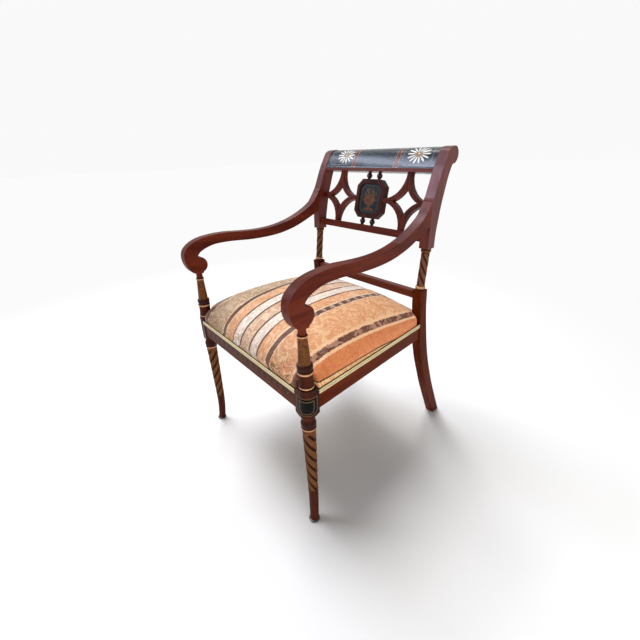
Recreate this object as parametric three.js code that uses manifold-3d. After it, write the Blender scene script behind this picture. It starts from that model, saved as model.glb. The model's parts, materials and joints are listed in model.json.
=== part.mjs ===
// Open armchair: scrolled arms, a rolled crest rail, a lattice back with a tablet,
// turned front legs, sabre rear legs and an over-upholstered seat.
// Millimetres, +Z up. The chair faces -Y, so left and right are as seen from the front.
import * as THREE from 'three';
import { mergeVertices } from 'three/addons/utils/BufferGeometryUtils.js';
import Module from 'manifold-3d';

const wasm = await Module();
wasm.setup();

// Clearances
const fit = 0.3;                    // gap in every joint
const overrun = 2;                  // how far a cut runs past the face it opens
const weld = 0.001;                 // vertices nearer than this are one

// Plan, measured from the middle of the chair and from the front leg axis
const frontHalfSpan = 251;          // to a front leg block
const armHalfSpan = 245;            // to the top of an arm support
const rearHalfSpan = 217;           // to a rear leg
const rearLegReach = 437;           // front leg axis to the top of a rear leg
const boardThickness = 28;          // arms, stiles and rear legs

// Heights
const railUnderside = 348;
const railHeight = 48;
const rearLegRise = 107;            // rear leg above the rails
const postLength = 114;
const postLean = 10;
const supportLength = 140;
const stileHeight = 244;
const stileReach = 101.5;
const stileFootDepth = 30.5;

// Seat rails
const railThickness = 22;
const railSetback = 2.5;            // front rail behind the leg blocks
const sideRailSetback = 1.5;
const tenonShoulder = 7;
const tenonThickness = 8;
const tenonLength = 14;
const rearTenonShift = 4;           // rear rail tenon, back from the middle of its rail
const rearRailShift = 14;           // rear rail, back from the top of the rear legs

// Front legs
const blockWidth = 38;
const blockDrop = 16;
const blockRise = 10;
const blockShoulder = 9;
const legNeck = 46;                 // foot of the block to the top of the twist
const legCollarRadius = 17;
const legRingRadius = 17.6;
const legTopRadius = 15.8;
const ankleRadius = 12.2;
const footRadius = 11;
const ankleHeight = 104;
const legLeanOut = 5.5;
const legLeanBack = 2.5;
const kickOut = 5;
const kickForward = 6.5;
const legTwistLead = 130;
const twistDepth = 1.1;
const glideRadius = 14;
const glideHeight = 5;
const glideNailRadius = 1.6;
const glideNailLength = 14;

// Arm supports
const supportRingRadius = 17.6;
const supportCollarRadius = 11.5;
const supportConeTop = 10;
const supportConeFoot = 13.4;
const supportNeckRadius = 9.4;
const supportTenonRadius = 5;
const supportTenonLength = 14;

// Beads on the turnings, by how far they stand proud
const fineBead = 0.6;
const smallBead = 0.9;
const fullBead = 1.2;
const collarBead = 1.5;

// Rear posts
const postRadius = 11;
const postRingRadius = 13;
const postBeadRadius = 13.6;
const postTwistLead = 110;
const postTenonRadius = 5;
const postTenonLength = 10;

// Rear legs
const rearFootReach = 153;
const rearLegDepth = 34;

// Arms
const armScrollHeight = 105;        // top of the arm above its support
const armDepth = 27;
const armJointRise = 60;            // underside of the joint above the foot of the stile
const armJointHeight = 60;
const voluteRadius = 22.5;
const voluteShift = 2.5;
const voluteLift = 3;
const crookGap = 4;                 // notch between the volute and the arm
const armTenonHeight = 32;
const armTenonThickness = 10;
const armTenonLength = 18;
const armTenonRoot = 4;             // part of the tenon that stays inside the arm

// Stile scroll and crest rail
const scrollRadius = 20.5;
const crestRise = 181;              // underside of the crest rail above the foot of the stile
const crestDepth = 32;
const crestSetback = 1.5;
const lipHeight = 12;
const lipProud = 1.5;
const crestTenonThickness = 10;
const crestTenonHeight = 30;
const crestTenonRise = 22;

// Lattice back
const latticeRise = 24;             // middle of the lattice rail above the foot of the stile
const latticeSetback = 3;
const latticeRailHeight = 20;
const latticeRailDepth = 22;
const lathWidth = 13;
const lathDepth = 19;
const lathHousing = 6;
const lathSweepShare = 1.1;         // outer sweep of a lath, as a share of half its cell

// Tablet and its ball spacers
const tabletWidth = 106;
const tabletHeight = 110;
const tabletThickness = 21;
const tabletChamfer = 19;
const tabletMargin = 13;
const panelThickness = 4;
const panelRecess = 8;
const ballSpacing = 39;
const ballRadius = 8.3;
const ballNeckRadius = 4;
const ballPinLength = 6;

// Lower back rail
const crossRailHeight = 22;
const crossRailDepth = 20;
const crossRailDrop = 18;           // middle of the rail below the top of the rear leg
const crossTenonHeight = 9;

// Seat
const webThickness = 2;
const webWidth = 54;
const webInset = 9;
const coverThickness = 2;
const seatWall = 14;
const seatCrown = 87;
const seatInset = 1;
const gimpHeight = 12;
const gimpDepth = 3.6;
const gimpDrop = 8.5;               // foot of the gimp below the top of the rails

// Corner blocks and their screws
const cornerReach = 62;
const cornerInset = 4;
const screwLength = 27;
const screwRadius = 2.1;
const screwHeadRadius = 4.2;
const screwHeadHeight = 2.6;
const screwSeat = 13;               // head of a screw off the face of the rail

// Facets
const twistStarts = 4;
const twistedSides = 5 * twistStarts;
const turnedSides = 16;
const smallSides = 10;
const arcSteps = 8;
const curveSteps = 5;

// Worked out from the sizes above
const railTop = railUnderside + railHeight;
const legTop = railTop + rearLegRise;
const stileFoot = legTop + postLength;
const stileMiddle = rearLegReach + postLean;
const stileFace = stileMiddle - stileFootDepth / 2;
const blockTop = railTop + blockRise;
const blockFoot = railUnderside - blockDrop;
const armSeat = blockTop + supportLength;
const armTop = armSeat + armScrollHeight;
const halfBoard = boardThickness / 2;
const halfBlock = blockWidth / 2;
const halfRail = railThickness / 2;
const tenonHeight = railHeight - 2 * tenonShoulder;
const railMiddle = railUnderside + railHeight / 2;
const frontFace = railSetback - halfBlock;
const rearFace = rearLegReach + rearRailShift + halfRail;

const toe = (armHalfSpan - rearHalfSpan) / stileMiddle;
const sideCentre = (y) => armHalfSpan - toe * y;
const sideInner = (y) => sideCentre(y) - halfBoard;

const railSlope = (frontHalfSpan + halfBlock - sideRailSetback - rearHalfSpan - halfRail)
  / rearLegReach;
const sideRailOuter = (y) => frontHalfSpan + halfBlock - sideRailSetback - railSlope * y;

// Finishes
const finish = (color, roughness, metalness) =>
  new THREE.MeshStandardMaterial({ color, roughness, metalness });
const mahogany = finish(0x6b2e20, 0.4, 0);
const ebonised = finish(0x1c2028, 0.35, 0);
const giltTwist = finish(0x7a5526, 0.5, 0.2);
const beech = finish(0xa98a5c, 0.7, 0);
const damask = finish(0xd9a077, 0.8, 0);
const linen = finish(0xc9b58f, 0.9, 0);
const braid = finish(0xd8c48a, 0.7, 0);
const steel = finish(0x777777, 0.35, 0.9);

const chair = new THREE.Group();

function add(name, geometry, material) {
  const mesh = new THREE.Mesh(geometry, material);
  mesh.name = name;
  chair.add(mesh);
}

// A node on each side: the right one as made, the left one mirrored.
function addPair(name, geometry, material) {
  add(`${name}_right`, geometry, material);
  add(`${name}_left`, mirrored(geometry), material);
}

function bare(geometry) {
  const copy = geometry.clone();
  for (const key of Object.keys(copy.attributes)) {
    if (key !== 'position') copy.deleteAttribute(key);
  }
  return mergeVertices(copy, weld);
}

function mirrored(geometry) {
  const copy = bare(geometry);
  copy.scale(-1, 1, 1);
  const index = copy.getIndex();
  for (let i = 0; i < index.count; i += 3) {
    const held = index.getX(i);
    index.setX(i, index.getX(i + 1));
    index.setX(i + 1, held);
  }
  return copy;
}

function solid(geometry) {
  const mesh = bare(geometry);
  return new wasm.Manifold(new wasm.Mesh({
    numProp: 3,
    vertProperties: Float32Array.from(mesh.getAttribute('position').array),
    triVerts: Uint32Array.from(mesh.getIndex().array),
  }));
}

function surface(manifold) {
  const mesh = manifold.getMesh();
  const geometry = new THREE.BufferGeometry();
  geometry.setAttribute('position', new THREE.BufferAttribute(mesh.vertProperties, 3));
  geometry.setIndex(new THREE.BufferAttribute(mesh.triVerts, 1));
  return geometry;
}

function joined(body, ...others) {
  return surface(others.reduce((sum, other) => sum.add(solid(other)), solid(body)));
}

function cut(body, ...tools) {
  return surface(tools.reduce((rest, tool) => rest.subtract(solid(tool)), solid(body)));
}

function shared(body, other) {
  return surface(solid(body).intersect(solid(other)));
}

// A box between two corners.
function boxBetween([x0, y0, z0], [x1, y1, z1]) {
  const box = new THREE.BoxGeometry(x1 - x0, y1 - y0, z1 - z0);
  return box.translate((x0 + x1) / 2, (y0 + y1) / 2, (z0 + z1) / 2);
}

// A box of half sizes about a point, tipped back by an angle, with each side grown by an amount.
function peg([x, y, z], [halfX, halfY, halfZ], tip = 0, grow = 0) {
  const box = new THREE.BoxGeometry(2 * (halfX + grow), 2 * (halfY + grow), 2 * (halfZ + grow));
  return box.rotateX(-tip).translate(x, y, z);
}

const flat = (points) => new THREE.Shape(points.map(([a, b]) => new THREE.Vector2(a, b)));
const extruded = (points, depth) =>
  new THREE.ExtrudeGeometry(flat(points), { depth, bevelEnabled: false });

// A board with its outline in the side view (y, z), standing about a centre that shifts with y.
function sideBoard(outline, thickness, centre) {
  const board = extruded(outline, thickness);
  board.applyMatrix4(new THREE.Matrix4().set(0, 0, 1, -thickness / 2, 1, 0, 0, 0, 0, 1, 0, 0, 0, 0, 0, 1));
  return shifted(board, (x, y) => x + centre(y));
}

// A rail with its section in the side view, which ends at a face on both sides.
function crossRail(section, face) {
  const rail = extruded(section, 2);
  rail.applyMatrix4(new THREE.Matrix4().set(0, 0, 1, -1, 1, 0, 0, 0, 0, 1, 0, 0, 0, 0, 0, 1));
  return shifted(rail, (x, y) => x * face(y));
}

function shifted(geometry, place) {
  const at = geometry.getAttribute('position');
  for (let i = 0; i < at.count; i += 1) at.setX(i, place(at.getX(i), at.getY(i)));
  return geometry;
}

// A plate with its outline in plan (x, y), between two heights.
const planBoard = (outline, foot, top) => extruded(outline, top - foot).translate(0, 0, foot);

function smooth(points, steps = curveSteps) {
  const curve = new THREE.CatmullRomCurve3(points.map(([a, b]) => new THREE.Vector3(a, b, 0)),
    false, 'centripetal');
  return curve.getPoints(steps * (points.length - 1)).map((p) => [p.x, p.y]);
}

// Points on a circle from one angle to another, in degrees.
function arc([a, b], radius, from, to, steps = arcSteps) {
  return Array.from({ length: steps + 1 }, (_, i) => {
    const angle = THREE.MathUtils.degToRad(from + (to - from) * i / steps);
    return [a + radius * Math.cos(angle), b + radius * Math.sin(angle)];
  });
}

// The first coordinate of an outline at a height.
function edgeAt(points, height) {
  const index = points.findIndex(([, b], i) => i > 0
    && (b - height) * (points[i - 1][1] - height) <= 0);
  const [[a0, b0], [a1, b1]] = [points[index - 1], points[index]];
  return a0 + (a1 - a0) * (height - b0) / (b1 - b0);
}

// An open outline moved sideways, to the right of its direction.
function inset(points, distance) {
  return points.map(([a, b], i) => {
    const [a0, b0] = points[Math.max(i - 1, 0)];
    const [a1, b1] = points[Math.min(i + 1, points.length - 1)];
    const length = Math.hypot(a1 - a0, b1 - b0);
    return [a + distance * (b1 - b0) / length, b - distance * (a1 - a0) / length];
  });
}

// A turned piece: stations of height and radius about a centre line, with an optional twist
// that turns each ring and sinks it between the strands.
function turning(stations, centre, sides = turnedSides, twist = plain) {
  const points = [];
  const faces = [];
  for (const [height, radius] of stations) {
    const [cx, cy] = centre(height);
    const depth = height > twist.foot && height < twist.top ? twist.depth : 0;
    const turn = 2 * Math.PI * Math.min(Math.max(height, twist.foot) - twist.foot,
      twist.top - twist.foot) / twist.lead;
    for (let i = 0; i < sides; i += 1) {
      const strand = Math.abs(Math.sin(Math.PI * twistStarts * i / sides));
      const angle = 2 * Math.PI * i / sides - turn;
      const r = radius - depth * (1 - strand);
      points.push(cx + r * Math.cos(angle), cy + r * Math.sin(angle), height);
    }
  }
  const last = stations.length - 1;
  for (const end of [0, last]) {
    points.push(...centre(stations[end][0]), stations[end][0]);
  }
  const foot = stations.length * sides;
  for (let i = 0; i < sides; i += 1) {
    const next = (i + 1) % sides;
    for (let k = 0; k < last; k += 1) {
      const [p, q] = [k * sides + i, k * sides + next];
      faces.push(p, q, q + sides, p, q + sides, p + sides);
    }
    faces.push(foot, next, i, foot + 1, last * sides + i, last * sides + next);
  }
  return meshOf(points, faces);
}
const plain = { depth: 0, lead: 1, foot: 0, top: 0 };

function meshOf(points, faces) {
  const geometry = new THREE.BufferGeometry();
  geometry.setAttribute('position', new THREE.Float32BufferAttribute(points, 3));
  geometry.setIndex(faces);
  return geometry;
}

const rod = (radius, foot, top, centre, sides = smallSides) =>
  turning([[foot, radius], [top, radius]], centre, sides);

// Stations of a round bead between two heights, which swells to a radius.
function bead(foot, top, radius, proud) {
  return arc([0, (foot + top) / 2], (top - foot) / 2, -90, 90, 4)
    .map(([out, height]) => [height, radius - proud + proud * 2 * out / (top - foot)]);
}

function levels(foot, top, steps, radius) {
  return Array.from({ length: steps + 1 }, (_, i) => {
    const share = i / steps;
    return [foot + (top - foot) * share, radius(share)];
  });
}

const mix = (a, b, share) => a + (b - a) * share;

// Stiles: a straight foot for the rear post, then a raked blade that ends in a scroll.
const stileFrontShares = [[0.0, 0.5], [0.048, 0.527], [0.153, 0.627], [0.251, 0.7295],
  [0.34, 0.8115], [0.438, 0.885], [0.547, 0.963], [0.655, 0.99]];
const stileBackShares = [[0.724, 0.807], [0.616, 0.709], [0.517, 0.574], [0.429, 0.443],
  [0.36, 0.291], [0.31, 0.156]];
const onStile = ([a, b]) => [stileFace + a * stileReach, stileFoot + b * stileHeight];
const scrollCentre = [stileFace + stileReach - scrollRadius, stileFoot + stileHeight - scrollRadius];
const stileFront = smooth([...stileFrontShares.map(onStile),
  [scrollCentre[0], stileFoot + stileHeight]], 3);
const scrollEnd = -96;
const stileBack = smooth([...stileBackShares.map(onStile),
  [stileFace + stileFootDepth, stileFoot + stileFootDepth / 2]], 3);
const stileOutline = [[stileFace, stileFoot], ...stileFront,
  ...arc(scrollCentre, scrollRadius, 90, scrollEnd, 14).slice(1), ...stileBack,
  [stileFace + stileFootDepth, stileFoot]];

// The lattice leans back in one plane, from the foot of the stiles to the crest rail.
const crestBase = stileFoot + crestRise;
const crestMiddle = edgeAt(stileFront, crestBase) + crestSetback + crestDepth / 2 + latticeSetback;
const latticeMiddle = stileFoot + latticeRise;
const lean = Math.atan2(crestMiddle - stileMiddle, crestBase - latticeMiddle);
const crestLevel = Math.hypot(crestMiddle - stileMiddle, crestBase - latticeMiddle);
const leaned = (geometry) => geometry.rotateX(-lean).translate(0, stileMiddle, latticeMiddle);
const leanPoint = (back, up) => [stileMiddle + back * Math.cos(lean) + up * Math.sin(lean),
  latticeMiddle - back * Math.sin(lean) + up * Math.cos(lean)];

const cellFoot = latticeRailHeight / 2;
const halfCellHeight = (crestLevel - cellFoot) / 2;
const cellMiddle = cellFoot + halfCellHeight;
const [cellY, cellZ] = leanPoint(0, cellMiddle);
const halfCellWidth = (sideInner(cellY) - tabletWidth / 2) / 2;
const cellCentre = tabletWidth / 2 + halfCellWidth;
const [lathOuterX, lathOuterZ] = [halfCellWidth, halfCellHeight].map((half) => lathSweepShare * half);
const [lathInnerX, lathInnerZ] = [lathOuterX - lathWidth, lathOuterZ - lathWidth];
const topStub = halfCellWidth - lathInnerX;
const sideStub = halfCellHeight - lathInnerZ;

// Joints of the right-hand stile, as boxes that grow into their mortises.
const crestTenonZ = crestBase + crestTenonRise;
const crestTenonY = edgeAt(stileFront, crestTenonZ) + crestSetback + crestDepth / 2;
const crestTip = Math.atan2(edgeAt(stileFront, crestTenonZ + crestTenonRise / 2)
  - edgeAt(stileFront, crestTenonZ - crestTenonRise / 2), crestTenonRise);
const stilePeg = (y, z, halfDepth, halfHeight, length, tip, grow) =>
  peg([sideInner(y), y, z], [length, halfDepth, halfHeight], tip, grow);
const crestTenon = (grow) => stilePeg(crestTenonY, crestTenonZ, crestTenonThickness / 2,
  crestTenonHeight / 2, tenonLength, crestTip, grow);
const latticeTenon = (grow) => stilePeg(stileMiddle, latticeMiddle, tenonThickness / 2,
  latticeRailHeight / 2 - tenonShoulder / 2, tenonLength, lean, grow);
const sideHousing = stilePeg(cellY, cellZ, lathDepth / 2, sideStub, lathHousing, lean, fit);

const armJointFoot = stileFoot + armJointRise;
const armJointTop = armJointFoot + armJointHeight;
const armTenonZ = (armJointFoot + armJointTop) / 2;
const armTenonMiddle = stileFace + (armTenonLength - armTenonRoot) / 2;
const armTenon = (grow) => peg([sideCentre(stileFace), armTenonMiddle, armTenonZ],
  [armTenonThickness / 2, (armTenonLength + armTenonRoot) / 2, armTenonHeight / 2], 0, grow);

const postCentre = (z) => [sideCentre(stileMiddle), mix(rearLegReach, stileMiddle,
  (z - legTop) / postLength)];
const postBore = (foot, top) => rod(postTenonRadius + fit, foot, top, postCentre);

addPair('stile', cut(
  sideBoard(stileOutline, boardThickness, sideCentre),
  crestTenon(fit), latticeTenon(fit), sideHousing, armTenon(fit),
  postBore(stileFoot - overrun, stileFoot + postTenonLength + fit),
), mahogany);

// Arms: a flat board that sweeps down from the stile and scrolls over its support.
const run = stileFace - fit;
const armUnder = armTop - armDepth;
const voluteCentre = [voluteShift, armSeat + voluteLift + voluteRadius];
const crook = voluteCentre[1] + voluteRadius + crookGap;
const scrollShares = [[-0.048, 0.06], [-0.074, 0.21], [-0.088, 0.447], [-0.077, 0.657],
  [-0.039, 0.81], [0.023, 0.929], [0.12, 0.99], [0.22, 1.0], [0.33, 0.967], [0.475, 0.943]];
const sweepTopShares = [[0.612, -0.017], [0.737, 0.128], [0.869, 0.4], [0.95, 0.663], [1, 1]];
const sweepUnderShares = [[1, 1], [0.925, 0.717], [0.813, 0.34], [0.746, 0.17],
  [0.649, 0.0], [0.554, -0.075], [0.466, -0.094]];
const crookShares = [[0.378, 0.84], [0.243, 1.0], [0.16, 1.0], [0.118, 0.94], [0.074, 0.75],
  [0.044, 0.55], [0.021, 0.33], [0.002, 0]];
const armOutline = [
  ...smooth([[-supportNeckRadius, armSeat],
    ...scrollShares.map(([a, b]) => [a * run, mix(armSeat, armTop, b)]),
    ...sweepTopShares.map(([a, b]) => [a * run, mix(armTop, armJointTop - fit, b)])], 3),
  ...smooth([...sweepUnderShares.map(([a, b]) => [a * run, mix(armUnder, armJointFoot, b)]),
    ...crookShares.map(([a, b]) => [a * run, mix(crook, armUnder, b)])], 3),
  ...arc(voluteCentre, voluteRadius, 92, -66, 12),
  [supportNeckRadius, armSeat],
];

// The front leg and the arm support stand on one block.
const supportCentre = (z) => [mix(frontHalfSpan, armHalfSpan, (z - blockTop) / supportLength), 0];
const supportTenon = (foot, top, grow) =>
  rod(supportTenonRadius + grow, foot, top, supportCentre);

addPair('arm', cut(
  joined(sideBoard(armOutline, boardThickness, sideCentre), armTenon(0)),
  supportTenon(armSeat - overrun, armSeat + supportTenonLength + fit, fit),
), mahogany);

// Arm supports: drum, rings, a cone that narrows upward, a collar and a neck.
const onSupport = (share) => blockTop + fit + share * (supportLength - 2 * fit);
const supportStations = [
  [blockTop - supportTenonLength, supportTenonRadius],
  [onSupport(0), supportTenonRadius],
  [onSupport(0), supportRingRadius - fineBead],
  ...bead(onSupport(0.02), onSupport(0.065), supportRingRadius, fineBead),
  [onSupport(0.09), supportRingRadius * 0.92],
  [onSupport(0.17), supportRingRadius * 0.89],
  [onSupport(0.25), supportRingRadius * 0.93],
  ...bead(onSupport(0.26), onSupport(0.305), supportRingRadius, fineBead),
  [onSupport(0.315), supportRingRadius * 0.86],
  ...bead(onSupport(0.325), onSupport(0.42), supportRingRadius, fullBead),
  [onSupport(0.43), supportConeFoot * 0.94],
  [onSupport(0.45), supportConeFoot],
  [onSupport(0.84), supportConeTop],
  ...bead(onSupport(0.85), onSupport(0.89), supportCollarRadius, fullBead),
  [onSupport(0.9), supportNeckRadius],
  [onSupport(0.94), supportNeckRadius * 0.9],
  [onSupport(1), supportNeckRadius],
  [onSupport(1), supportTenonRadius],
  [armSeat + supportTenonLength, supportTenonRadius],
];
addPair('arm_support', turning(supportStations, supportCentre), mahogany);

// Front legs: a block with a rounded outer corner, a collar, a tapering twist and an ankle
// that kicks out.
const twistTop = blockFoot - legNeck;
const legCentre = (z) => {
  const down = Math.max(0, (blockFoot - z) / blockFoot);
  const kick = Math.max(0, (ankleHeight - z) / ankleHeight) ** 2;
  return [frontHalfSpan + legLeanOut * down + kickOut * kick,
    legLeanBack * down - kickForward * kick];
};
const onNeck = (share) => mix(twistTop, blockFoot, share);
const legTurning = turning([
  ...levels(glideHeight + fit, ankleHeight, 4, (share) => mix(footRadius, ankleRadius, share)),
  ...levels(ankleHeight + fit, twistTop, 24, (share) => mix(ankleRadius, legTopRadius, share)),
  [twistTop + fit, legTopRadius],
  [onNeck(0.2), legTopRadius],
  ...bead(onNeck(0.23), onNeck(0.32), legRingRadius, smallBead),
  ...bead(onNeck(0.35), onNeck(0.72), legRingRadius, collarBead),
  [onNeck(0.8), legCollarRadius * 0.86],
  [blockFoot, legCollarRadius],
  [blockFoot + blockShoulder, legCollarRadius],
], legCentre, twistedSides,
{ depth: twistDepth, lead: legTwistLead, foot: ankleHeight + 2 * fit, top: twistTop });

const upright = () => [frontHalfSpan, 0];
const corner = halfBlock * Math.SQRT2;
const blockPlan = [[frontHalfSpan - halfBlock, -halfBlock],
  ...arc([frontHalfSpan, 0], halfBlock, -90, 0),
  [frontHalfSpan + halfBlock, halfBlock], [frontHalfSpan - halfBlock, halfBlock]];
const block = shared(
  planBoard(blockPlan, blockFoot, blockTop),
  turning([[blockFoot, legCollarRadius], [blockFoot + blockShoulder, corner],
    [blockTop - blockShoulder / 2, corner], [blockTop, halfBlock]], upright, 2 * turnedSides),
);

const frontTenon = (grow) => peg([frontHalfSpan - halfBlock, frontFace + halfRail, railMiddle],
  [tenonLength, tenonThickness / 2, tenonHeight / 2], 0, grow);
const sideTenonX = (y) => sideRailOuter(y) - halfRail;
const sideFrontTenon = (grow) => peg([sideTenonX(halfBlock), halfBlock, railMiddle],
  [tenonThickness / 2, tenonLength, tenonHeight / 2], 0, grow);
const footCentre = legCentre(0);
const nail = (foot, top, grow) => rod(glideNailRadius + grow, foot, top, () => footCentre);

addPair('front_leg', cut(
  joined(legTurning, block),
  supportTenon(blockTop - supportTenonLength - fit, blockTop + overrun, fit),
  frontTenon(fit), sideFrontTenon(fit),
  nail(0, glideNailLength + glideHeight, fit),
), giltTwist);

addPair('front_glide', turning([
  [0, glideRadius * 0.7], [glideHeight * 0.4, glideRadius], [glideHeight * 0.8, glideRadius],
  [glideHeight, glideRadius * 0.92], [glideHeight, glideNailRadius],
  [glideHeight + glideNailLength - 2 * fit, glideNailRadius],
], () => footCentre, smallSides), steel);

// Rear legs: upright at the rails, then swept back to the floor.
const sabreShares = [[0, 1, 0.88], [0.026, 0.899, 0.88], [0.078, 0.799, 0.91], [0.157, 0.662, 1.02],
  [0.268, 0.533, 1.01], [0.412, 0.4115, 0.98], [0.575, 0.284, 0.97], [0.771, 0.153, 0.97], [1, 0, 0.97]];
const sabreEdge = (side) => smooth(sabreShares.map(([a, b, c]) =>
  [rearLegReach + a * rearFootReach + side * c * rearLegDepth / 2, b * legTop]), 3);
const sabreFront = sabreEdge(-1);
const sabreBack = sabreEdge(1);
const rearCentre = () => rearHalfSpan;
const rearInner = () => rearHalfSpan - halfBoard;

const crossZ = legTop - crossRailDrop;
const crossY = mix(edgeAt(sabreFront, crossZ), edgeAt(sabreBack, crossZ), 0.5);
const rearPeg = (y, z, halfDepth, halfHeight, grow) =>
  peg([rearInner(), y, z], [tenonLength, halfDepth, halfHeight], 0, grow);
const crossTenon = (grow) => rearPeg(crossY, crossZ, tenonThickness / 2, crossTenonHeight / 2, grow);
const rearRailY = rearFace - halfRail;
const rearTenon = (grow) =>
  rearPeg(rearRailY + rearTenonShift, railMiddle, tenonThickness / 2, tenonHeight / 2, grow);

// A side rail tenon stops just short of the rear rail tenon inside the leg.
const sideTenonEnd = rearRailY + rearTenonShift - tenonThickness / 2 - 3 * fit;
const sideTenonRoot = edgeAt(sabreFront, railTop) - overrun;
const sideRearTenon = (grow) => boxBetween(
  [sideTenonX(sideTenonRoot) - tenonThickness / 2 - grow, sideTenonRoot - grow,
    railMiddle - tenonHeight / 2 - grow],
  [sideTenonX(sideTenonRoot) + tenonThickness / 2 + grow, sideTenonEnd + grow,
    railMiddle + tenonHeight / 2 + grow],
);

addPair('rear_leg', cut(
  sideBoard([...sabreFront, ...sabreBack.toReversed()], boardThickness, rearCentre),
  crossTenon(fit), rearTenon(fit), sideRearTenon(fit),
  postBore(legTop - postTenonLength - fit, legTop + overrun),
), mahogany);

// Rear posts: twist turnings between the rear legs and the stiles.
const onPost = (share) => legTop + fit + share * (postLength - 2 * fit);
addPair('rear_post', turning([
  [legTop - postTenonLength, postTenonRadius],
  [onPost(0), postTenonRadius],
  [onPost(0), postRingRadius],
  ...bead(onPost(0.03), onPost(0.08), postBeadRadius, smallBead),
  [onPost(0.1), postRadius],
  ...levels(onPost(0.12), onPost(0.88), 14, () => postRadius),
  [onPost(0.9), postRadius],
  ...bead(onPost(0.92), onPost(0.97), postBeadRadius, smallBead),
  [onPost(1), postRingRadius],
  [onPost(1), postTenonRadius],
  [stileFoot + postTenonLength, postTenonRadius],
], postCentre, twistedSides,
{ depth: twistDepth, lead: postTwistLead, foot: onPost(0.11), top: onPost(0.89) }), giltTwist);

// Crest rail: a lip along the foot, a swept face and a rolled top.
const lipFoot = leanPoint(-crestDepth / 2 - latticeSetback, crestLevel);
const crestFace = inset(stileFront, crestSetback).filter(([, z]) => z > lipFoot[1] + lipHeight);
const lipTop = [edgeAt(stileFront, lipFoot[1] + lipHeight) + crestSetback, lipFoot[1] + lipHeight];
const lip = arc([0, 0], 1, -150, -30, 4).map(([, out], i, all) => {
  const share = i / (all.length - 1);
  return [mix(lipFoot[0], lipTop[0], share) + lipProud * out, mix(lipFoot[1], lipTop[1], share)];
});
const crestBack = inset(stileFront, crestDepth).filter(([y, z]) =>
  z > lipFoot[1] && z < scrollCentre[1] - scrollRadius);
const crestSection = [lipFoot, ...lip, lipTop, ...crestFace,
  ...arc(scrollCentre, scrollRadius - crestSetback, 90, scrollEnd, 14).slice(1),
  ...crestBack.toReversed(), leanPoint(crestDepth / 2, crestLevel)];
const stubMortise = (x, level, halfX) =>
  leaned(peg([x, 0, level], [halfX, lathDepth / 2, lathHousing], 0, fit));
const ballX = ballSpacing / 2;
const pinBore = (x, foot, top) => leaned(rod(ballNeckRadius + fit, foot, top, () => [x, 0]));
const bothWays = (make) => [make(1), make(-1)];

add('crest_rail', cut(
  joined(crossRail(crestSection, (y) => sideInner(y) - fit),
    crestTenon(0), mirrored(crestTenon(0))),
  ...bothWays((side) => stubMortise(side * cellCentre, crestLevel, topStub)),
  ...bothWays((side) => pinBore(side * ballX, crestLevel - overrun, crestLevel + ballPinLength + fit)),
), ebonised);

// Lattice rail, between the feet of the stiles.
const railSection = (halfDepth, halfHeight) => [[-1, -1], [1, -1], [1, 1], [-1, 1]]
  .map(([a, b]) => leanPoint(a * halfDepth, b * halfHeight));
add('lattice_rail', cut(
  joined(crossRail(railSection(latticeRailDepth / 2, latticeRailHeight / 2),
    (y) => sideInner(y) - fit), latticeTenon(0), mirrored(latticeTenon(0))),
  ...bothWays((side) => stubMortise(side * cellCentre, cellFoot, topStub)),
  ...bothWays((side) => pinBore(side * ballX, cellFoot - ballPinLength - fit, cellFoot + overrun)),
), mahogany);

// Lattice laths: each sweeps a quarter turn about a corner of its cell, housed at both ends.
function lathOutline() {
  const [w, h] = [halfCellWidth - fit / 2, halfCellHeight - fit / 2];
  const [from, to] = [Math.asin(h / lathOuterZ), Math.acos(w / lathOuterX)]
    .map(THREE.MathUtils.radToDeg);
  const sweep = (reachX, reachZ, first, last) =>
    arc([0, 0], 1, first, last).map(([a, b]) => [a * reachX, b * reachZ]);
  return [...sweep(lathInnerX, lathInnerZ, 0, 90), [-lathHousing, lathInnerZ], [-lathHousing, h],
    ...sweep(lathOuterX, lathOuterZ, from, to), [w, -lathHousing], [lathInnerX, -lathHousing]];
}
for (const [row, level, up] of [['upper', crestLevel, -1], ['lower', cellFoot, 1]]) {
  for (const [place, x, out] of [['outer', cellCentre + halfCellWidth, -1],
    ['inner', cellCentre - halfCellWidth, 1]]) {
    const points = lathOutline().map(([a, b]) => [x + out * a, level + up * b]);
    const lath = extruded(points, lathDepth).rotateX(Math.PI / 2).translate(0, lathDepth / 2, 0);
    addPair(`lath_${row}_${place}`, leaned(lath), mahogany);
  }
}

// Tablet: an eight-sided board with a painted panel let into its face.
function octagon(width, height, chamfer) {
  const [w, h] = [width / 2, height / 2];
  return [[-w, chamfer - h], [chamfer - w, -h], [w - chamfer, -h], [w, chamfer - h],
    [w, h - chamfer], [w - chamfer, h], [chamfer - w, h], [-w, h - chamfer]];
}
function tabletPlate(grow, front, back) {
  const width = tabletWidth - 2 * tabletMargin + 2 * grow;
  const height = tabletHeight - 2 * tabletMargin + 2 * grow;
  const chamfer = tabletChamfer - (2 - Math.SQRT2) * (tabletMargin - grow);
  const plate = extruded(octagon(width, height, chamfer), back - front);
  return leaned(plate.rotateX(Math.PI / 2).translate(0, back, cellMiddle));
}
const tabletFace = -tabletThickness / 2;
const recessFloor = tabletFace + panelRecess;
const [tabletFoot, tabletHead] = [cellMiddle - tabletHeight / 2, cellMiddle + tabletHeight / 2];
add('tablet_frame', cut(
  tabletPlate(tabletMargin, tabletFace, -tabletFace),
  tabletPlate(fit, tabletFace - overrun, recessFloor),
  ...bothWays((side) => leaned(peg([side * tabletWidth / 2, 0, cellMiddle],
    [lathHousing, lathDepth / 2, sideStub], 0, fit))),
  ...bothWays((side) => pinBore(side * ballX, tabletHead - ballPinLength - fit, tabletHead + overrun)),
  ...bothWays((side) => pinBore(side * ballX, tabletFoot - overrun, tabletFoot + ballPinLength + fit)),
), mahogany);
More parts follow.
